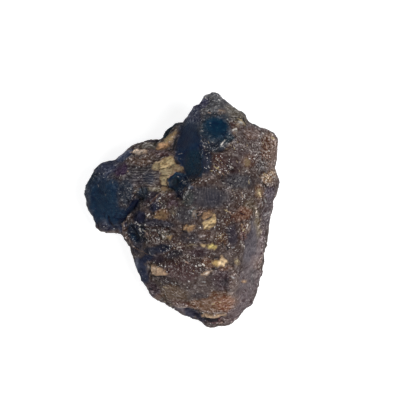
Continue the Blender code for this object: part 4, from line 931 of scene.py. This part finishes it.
# Stops of (position, red, green, blue) that tint the ground: its mineral pieces, its slow drifts of
# hue, its fine salt and its crystals. The last two tint the pale grains.
MINERALS = [
    (0, 0.8, 0.84, 1), (0.22, 1.1, 0.99, 0.92), (0.46, 0.94, 0.87, 0.96), (0.6, 1.12, 1.08, 0.96),
    (0.76, 0.6, 0.6, 0.66), (0.9, 1.3, 1.24, 1.18),
]  # fmt: skip
DRIFTS = [(0.3, 0.8, 0.82, 0.96), (0.44, 1, 0.99, 1.01), (0.56, 1.08, 1.02, 0.98), (0.7, 1.02, 1, 0.88)]
SALT = [
    (0, 0.2, 0.2, 0.23), (0.3, 0.66, 0.66, 0.68), (0.6, 1.05, 1.04, 1.02), (0.85, 1.6, 1.57, 1.5),
    (0.97, 3, 2.9, 2.75),
]  # fmt: skip
CRYSTAL_TINTS = [(0, 0.5, 0.5, 0.52), (0.45, 1, 1, 1), (0.78, 1.4, 1.37, 1.33), (0.95, 2.3, 2.25, 2.15)]
STAINS = [
    (0.32, 0.46, 0.38, 0.32), (0.43, 0.8, 0.72, 0.62), (0.54, 1.02, 0.99, 0.95), (0.66, 1.26, 1.26, 1.26),
]  # fmt: skip
GLINTS = [(0, 0.78, 0.76, 0.74), (0.6, 1, 1, 1), (0.95, 1.3, 1.28, 1.22)]

# Colours of the fine detail, as 8-bit sRGB. The seam, pit and gap colours are painted shade, the wire colour
# is a painted highlight on crystal edges, and the speck colour is partly pale flakes and partly painted
# glints.
SEAM_SHADE, PIT_SHADE, GAP_SHADE, DARK_LINE = (22, 19, 25), (16, 14, 18), (15, 17, 24), (26, 24, 30)
EDGE_HIGHLIGHT, FLAKE_AND_GLINT, PALE_LINE = (182, 171, 158), (234, 226, 216), (150, 132, 112)
RIM_BROWN, CREASE_BROWN = (116, 88, 64), (92, 62, 42)

# Sizes of the fine detail, in mm.
PIECE, CRYSTAL, WIRE_NET, SALT_GRAIN = 0.6, 0.56, 0.85, 0.33
PIT_WIDTH, SPECK_WIDTH, TINY_WIDTH = 0.42, 0.52, 0.36
GLINT_WIDTH, CREASE_NET = 0.5, 1.9

# Fine parting lines: (attribute, spacing in mm, direction across, dark share, pale share).
PARTINGS = [("roof", 0.68, (0.07, 1.0, 0.17), 0.65, 0.36), ("plateau", 0.7, (1.0, 0.06, 0.0), 0.3, 0.1)]


def mineral_ground(g, rough):
    """The tones of the stone, broken into small mineral pieces of many hues."""
    hue = g.stops(g.noise(2.0, 3.0, 0.6, 0.8, g.drawn_out), DRIFTS)
    ground = g.tint(g.attribute("tone", "Color"), g.stops(g.keys(PIECE, g.torn), MINERALS, "CONSTANT"), rough)
    ground = g.tint(ground, hue, rough)
    streak = g.noise(1.4, 3.0, 0.6, 0.4, g.drawn_out)
    ground = g.shade(ground, g.ramp(streak, 0.3, 0.7, 0.8, 1.2))
    layer = g.noise(0.55, 2.0, 0.6, 0.5, g.layered)
    ground = g.shade(ground, g.ramp(layer, 0.34, 0.66, 0.62, 1.42), g.times(rough, 0.8))
    patchy = g.ramp(g.noise(2.4, 2.0), 0.36, 0.62, 0.55, 1.0)
    return g.tint(ground, g.stops(g.keys(SALT_GRAIN), SALT), g.times(rough, patchy))


def seams_and_wires(g, ground, rough, glitter):
    """Crystals with dark gaps and thin pale wires between them: the gaps are painted shade and the wires
    painted highlights along the crystal edges.
    """
    amount = g.times(rough, g.ramp(glitter, 0.0, 1.0, 0.35, 1.0))
    ground = g.shade(ground, g.ramp(glitter, 0.0, 1.0, 1.0, 0.62))
    ground = g.tint(ground, g.stops(g.keys(CRYSTAL, g.torn), CRYSTAL_TINTS), amount)
    # Painted shade in the gaps between the crystals.
    open_gap = g.ramp(g.noise(0.7, 2.0), 0.42, 0.56)
    seam = g.times(g.seams(CRYSTAL, 0.03, 0.18), open_gap, amount)
    ground = g.mix(seam, ground, rgba(SEAM_SHADE))
    # Painted highlights along the crystal edges.
    broken = g.ramp(g.noise(0.42, 2.0, 0.5), 0.52, 0.6)
    wire = g.times(g.seams(WIRE_NET, 0.0, 0.09), broken, g.ramp(glitter, 0.1, 0.9, 0.05, 0.8), rough)
    return g.mix(wire, ground, rgba(EDGE_HIGHLIGHT))


def pits_and_specks(g, ground, rough, glitter):
    """Dark pits painted as shade, and bright flakes, partly pale minerals and partly painted glints, densest
    where glitter is high. Also says where the flakes are.
    """
    # Painted shade of tiny pits.
    pit = g.flakes(PIT_WIDTH, g.ramp(glitter, 0.0, 1.0, 0.93, 0.7), g.place)
    ground = g.mix(g.times(pit, rough, 0.95), ground, rgba(PIT_SHADE))
    scattered = g.times(glitter, g.ramp(g.noise(1.6, 2.0), 0.36, 0.62))
    large = g.flakes(SPECK_WIDTH, g.ramp(scattered, 0.0, 1.0, 0.985, 0.86), g.torn)
    tiny = g.flakes(TINY_WIDTH, g.ramp(scattered, 0.0, 1.0, 0.965, 0.72), g.place)
    off_glass = g.ramp(g.attribute("gloss"), 0.1, 0.4, 1.0, 0.2)
    speck = g.times(g.math("MAXIMUM", large, tiny), rough, off_glass)
    shine = g.ramp(g.noise(0.6, 2.0), 0.35, 0.65, 0.6, 1.0)
    # Pale flakes, partly pale minerals and partly painted glints.
    return g.mix(g.times(speck, shine), ground, rgba(FLAKE_AND_GLINT)), speck


def parting_lines(g, ground):
    """Fine dark and pale lines where the stone parts in sheets."""
    wander = g.times(g.noise(2.6, 3.0, 0.55), 1.6)
    breaks = g.ramp(g.noise(1.1, 2.0, place=g.drawn_out), 0.36, 0.5)
    for name, spacing, direction, dark, pale in PARTINGS:
        across = g.node("VectorMath", {0: g.place, 1: direction}, "Value", operation="DOT_PRODUCT")
        wave = g.math("SINE", g.times(g.math("ADD", across, wander), 2 * math.pi / spacing))
        there = g.times(g.attribute(name), breaks)
        ground = g.mix(g.times(g.ramp(wave, 0.1, 0.8), there, dark), ground, rgba(DARK_LINE))
        ground = g.mix(g.times(g.ramp(wave, -0.7, -0.95), there, pale), ground, rgba(PALE_LINE))
    return ground


def greyed(g, ground):
    """Takes most of the tint out of the fine detail: the specks and gaps are nearly grey."""
    tone = g.attribute("tone", "Color")
    detail = g.math("SUBTRACT", g.node("RGBToBW", {0: ground}), g.node("RGBToBW", {0: tone}))
    plain = g.vector("MAXIMUM", g.vector("ADD", tone, g.grey(detail)), (0.003, 0.003, 0.003))
    return g.mix(0.7, ground, plain)


def pale_grains(g, ground, hollow):
    """Cream and orange crystals with stained, crumbling rims and brown creases, with painted shade in their
    hollows and painted light on their crests.
    """
    depth = g.math("ADD", g.attribute("grain"), g.centred(0.9, 0.45, 3.0, 0.65))
    stain = g.stops(g.noise(1.3, 4.0, 0.7, 1.2, g.torn), STAINS)
    colour = g.tint(g.attribute("grain_tone", "Color"), stain, 1.0)
    colour = g.tint(colour, g.stops(g.keys(GLINT_WIDTH, g.torn), GLINTS), 0.8)
    colour = g.shade(colour, g.ramp(depth, 0.2, 1.3, 0.92, 1.12))
    colour = g.mix(g.ramp(depth, 0.0, 0.55, 0.65, 0.0), colour, rgba(RIM_BROWN))
    creased = g.ramp(g.noise(1.6, 2.0), 0.42, 0.58)
    colour = g.mix(g.times(g.seams(CREASE_NET, 0.0, 0.07, 0.6), creased), colour, rgba(CREASE_BROWN))
    # Painted shade in the grains' hollows, and painted light on their crests.
    colour = g.shade(colour, g.ramp(hollow, -0.04, 0.09, 1.12, 0.5))
    return g.mix(g.ramp(depth, -0.22, 0.28), ground, colour)


def marks(g, colour):
    """Near-black painted shade in the cracks between crystals, which are also sunk into the skin, and the
    bright flecks and wires over them, partly pale minerals and partly painted glints.
    """
    ragged = g.centred(0.36, 0.35, 2.0)
    # Painted shade in the cracks.
    gap = g.ramp(g.math("ADD", g.attribute("gap"), ragged), -0.08, 0.08, 0.0, 0.9)
    colour = g.mix(gap, colour, rgba(GAP_SHADE))
    # Bright flecks, partly pale minerals and partly painted glints.
    fleck = g.ramp(g.math("ADD", g.attribute("fleck"), ragged), -0.02, 0.1, 0.0, 0.95)
    whole = g.ramp(g.noise(0.5, 2.0, place=g.torn), 0.36, 0.5, 0.4, 1.0)
    return g.mix(g.times(fleck, whole), colour, g.attribute("fleck_tone", "Color"))


def stone_colour(g, rough):
    """The colour of the stone, with painted shade in its hollows and painted light on its crests, and where
    its bright flakes are.
    """
    hollow, glitter = g.attribute("hollow"), g.attribute("glitter")
    ground = seams_and_wires(g, mineral_ground(g, rough), rough, glitter)
    ground, speck = pits_and_specks(g, ground, rough, glitter)
    ground = parting_lines(g, ground)
    # Painted shade: darker in the fine and wide hollows of the skin. Painted light: brighter on its crests.
    narrow = g.ramp(hollow, -0.05, 0.10, 1.25, 0.4)
    wide = g.ramp(g.attribute("hollow_wide"), -0.25, 0.55, 1.1, 0.5)
    ground = greyed(g, g.shade(ground, g.times(narrow, wide)))
    return marks(g, pale_grains(g, ground, hollow)), speck


def stone_material():
    """Rough corundum: broken brown skin, blue-black glass, pale grains and bright flakes."""
    material, shader = new_material("rough_corundum_skin")
    g = Graph(material)
    rough = g.math("SUBTRACT", 1.0, g.times(g.attribute("smooth"), 0.78))
    colour, speck = stone_colour(g, rough)
    dull = g.math("ADD", g.ramp(g.attribute("gloss"), 0.0, 1.0, 0.52, 0.16), g.centred(0.3, 0.6, 3.0))
    dull = g.math("SUBTRACT", dull, g.times(speck, 0.2), clamp=True)
    shifted = g.vector("ADD", g.place, g.noise(0.9, output="Color"))
    facets = g.cells(0.42, shifted, distance="CHEBYCHEV")
    relief = g.math("ADD", g.times(facets, 0.5), g.noise(0.28, 3.0, 0.6))
    normal = g.node("Bump", {"Height": relief, "Distance": 0.16 * MM, "Strength": rough})
    g.put(shader.inputs["Base Color"], colour)
    g.put(shader.inputs["Roughness"], dull)
    g.put(shader.inputs["Normal"], normal)
    shader.inputs["IOR"].default_value = 1.6
    shader.inputs["Specular IOR Level"].default_value = 0.22
    return material


# -- Studio ----------------------------------------------------------------------------------

PIXEL, PICTURE_SIDE = 0.25, 400  # millimetres of the stone to a pixel, and pixels to a side
FRAME_MIDDLE = (4.5, 2.5)  # what the middle of the picture looks at, as (u, v)
FOCUS_HEIGHT = 13.0  # w of the plane where that scale holds
CAMERA_DISTANCE = 1.6
SENSOR = 36
FLOOR_HALF = 3.0
FLOOR_COLOUR, FLOOR_GLOW = (0.42, 0.42, 0.42, 1), 0.85
AIR_COLOUR, AIR_LOW, AIR_HIGH = (0.9, 0.94, 1.0, 1), 0.16, 0.05  # its light at the horizon and overhead
LIT_PLACE = (0, 0, 0.012)  # what the lights face
LIGHT_SIZE = 0.5

# Soft lights: (name, place, power in watts, colour).
LIGHTS = [
    ("key", (0.42, -0.22, 0.92), 9.6, (1.0, 1.0, 1.0)),
    ("fill", (-0.25, -0.85, 0.6), 2.6, (1.0, 0.99, 0.97)),
    ("back", (-0.75, 0.55, 0.55), 2.2, (0.86, 0.93, 1.0)),
]


def add_camera():
    data = bpy.data.cameras.new("camera")
    camera = in_scene(bpy.data.objects.new("camera", data))
    data.sensor_width = SENSOR
    data.lens = SENSOR * CAMERA_DISTANCE / (PICTURE_SIDE * PIXEL * MM)
    data.clip_start = 0.05
    data.clip_end = 20
    away = Vector(in_world(*FRAME_MIDDLE, FOCUS_HEIGHT + CAMERA_DISTANCE / MM))
    camera.matrix_world = Matrix.Translation(away) @ Matrix.Rotation(LEAN, 4, "X")
    bpy.context.scene.camera = camera


def add_light(name, place, power, colour):
    """A round area light that faces the stone."""
    data = bpy.data.lights.new(name, "AREA")
    data.shape = "DISK"
    data.size = LIGHT_SIZE
    data.energy = power
    data.color = colour
    light = in_scene(bpy.data.objects.new(name, data))
    back = Vector(place) - Vector(LIT_PLACE)
    light.matrix_world = Matrix.Translation(place) @ back.to_track_quat("Z", "Y").to_matrix().to_4x4()


def add_floor():
    mesh = bpy.data.meshes.new("floor")
    corners = [(x * FLOOR_HALF, y * FLOOR_HALF, 0) for x, y in ((-1, -1), (1, -1), (1, 1), (-1, 1))]
    mesh.from_pydata(corners, [], [(0, 1, 2, 3)])
    floor = in_scene(bpy.data.objects.new("floor", mesh))
    material, shader = new_material("floor_white")
    shader.inputs["Base Color"].default_value = FLOOR_COLOUR
    shader.inputs["Roughness"].default_value = 0.9
    shader.inputs["Specular IOR Level"].default_value = 0.1
    shader.inputs["Emission Color"].default_value = (1, 1, 1, 1)
    shader.inputs["Emission Strength"].default_value = FLOOR_GLOW
    mesh.materials.append(material)
    floor.visible_glossy = False  # the pale floor lights the stone but isn't mirrored in its glass


def add_world():
    """Studio air: pale low down, dim overhead."""
    world = bpy.data.worlds.new("studio")
    world.use_nodes = True
    nodes, links = world.node_tree.nodes, world.node_tree.links
    split = nodes.new("ShaderNodeSeparateXYZ")
    links.new(nodes.new("ShaderNodeTexCoord").outputs["Generated"], split.inputs[0])
    ramp = nodes.new("ShaderNodeMapRange")
    links.new(split.outputs["Z"], ramp.inputs[0])
    for socket, value in zip(ramp.inputs[1:5], (0.0, 0.9, AIR_LOW, AIR_HIGH), strict=True):
        socket.default_value = value
    nodes["Background"].inputs["Color"].default_value = AIR_COLOUR
    links.new(ramp.outputs[0], nodes["Background"].inputs["Strength"])
    bpy.context.scene.world = world


def add_stone():
    skin = base_skin()
    colour_skin(skin, *shape_skin(skin))
    skin.data.materials.clear()
    skin.data.materials.append(stone_material())
    skin.data.polygons.foreach_set("use_smooth", [True] * len(skin.data.polygons))
    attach(skin, "root")
    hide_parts(NODE)


add_camera()
add_floor()
add_world()
for light in LIGHTS:
    add_light(*light)
add_stone()
bpy.context.scene.view_settings.view_transform = "Standard"
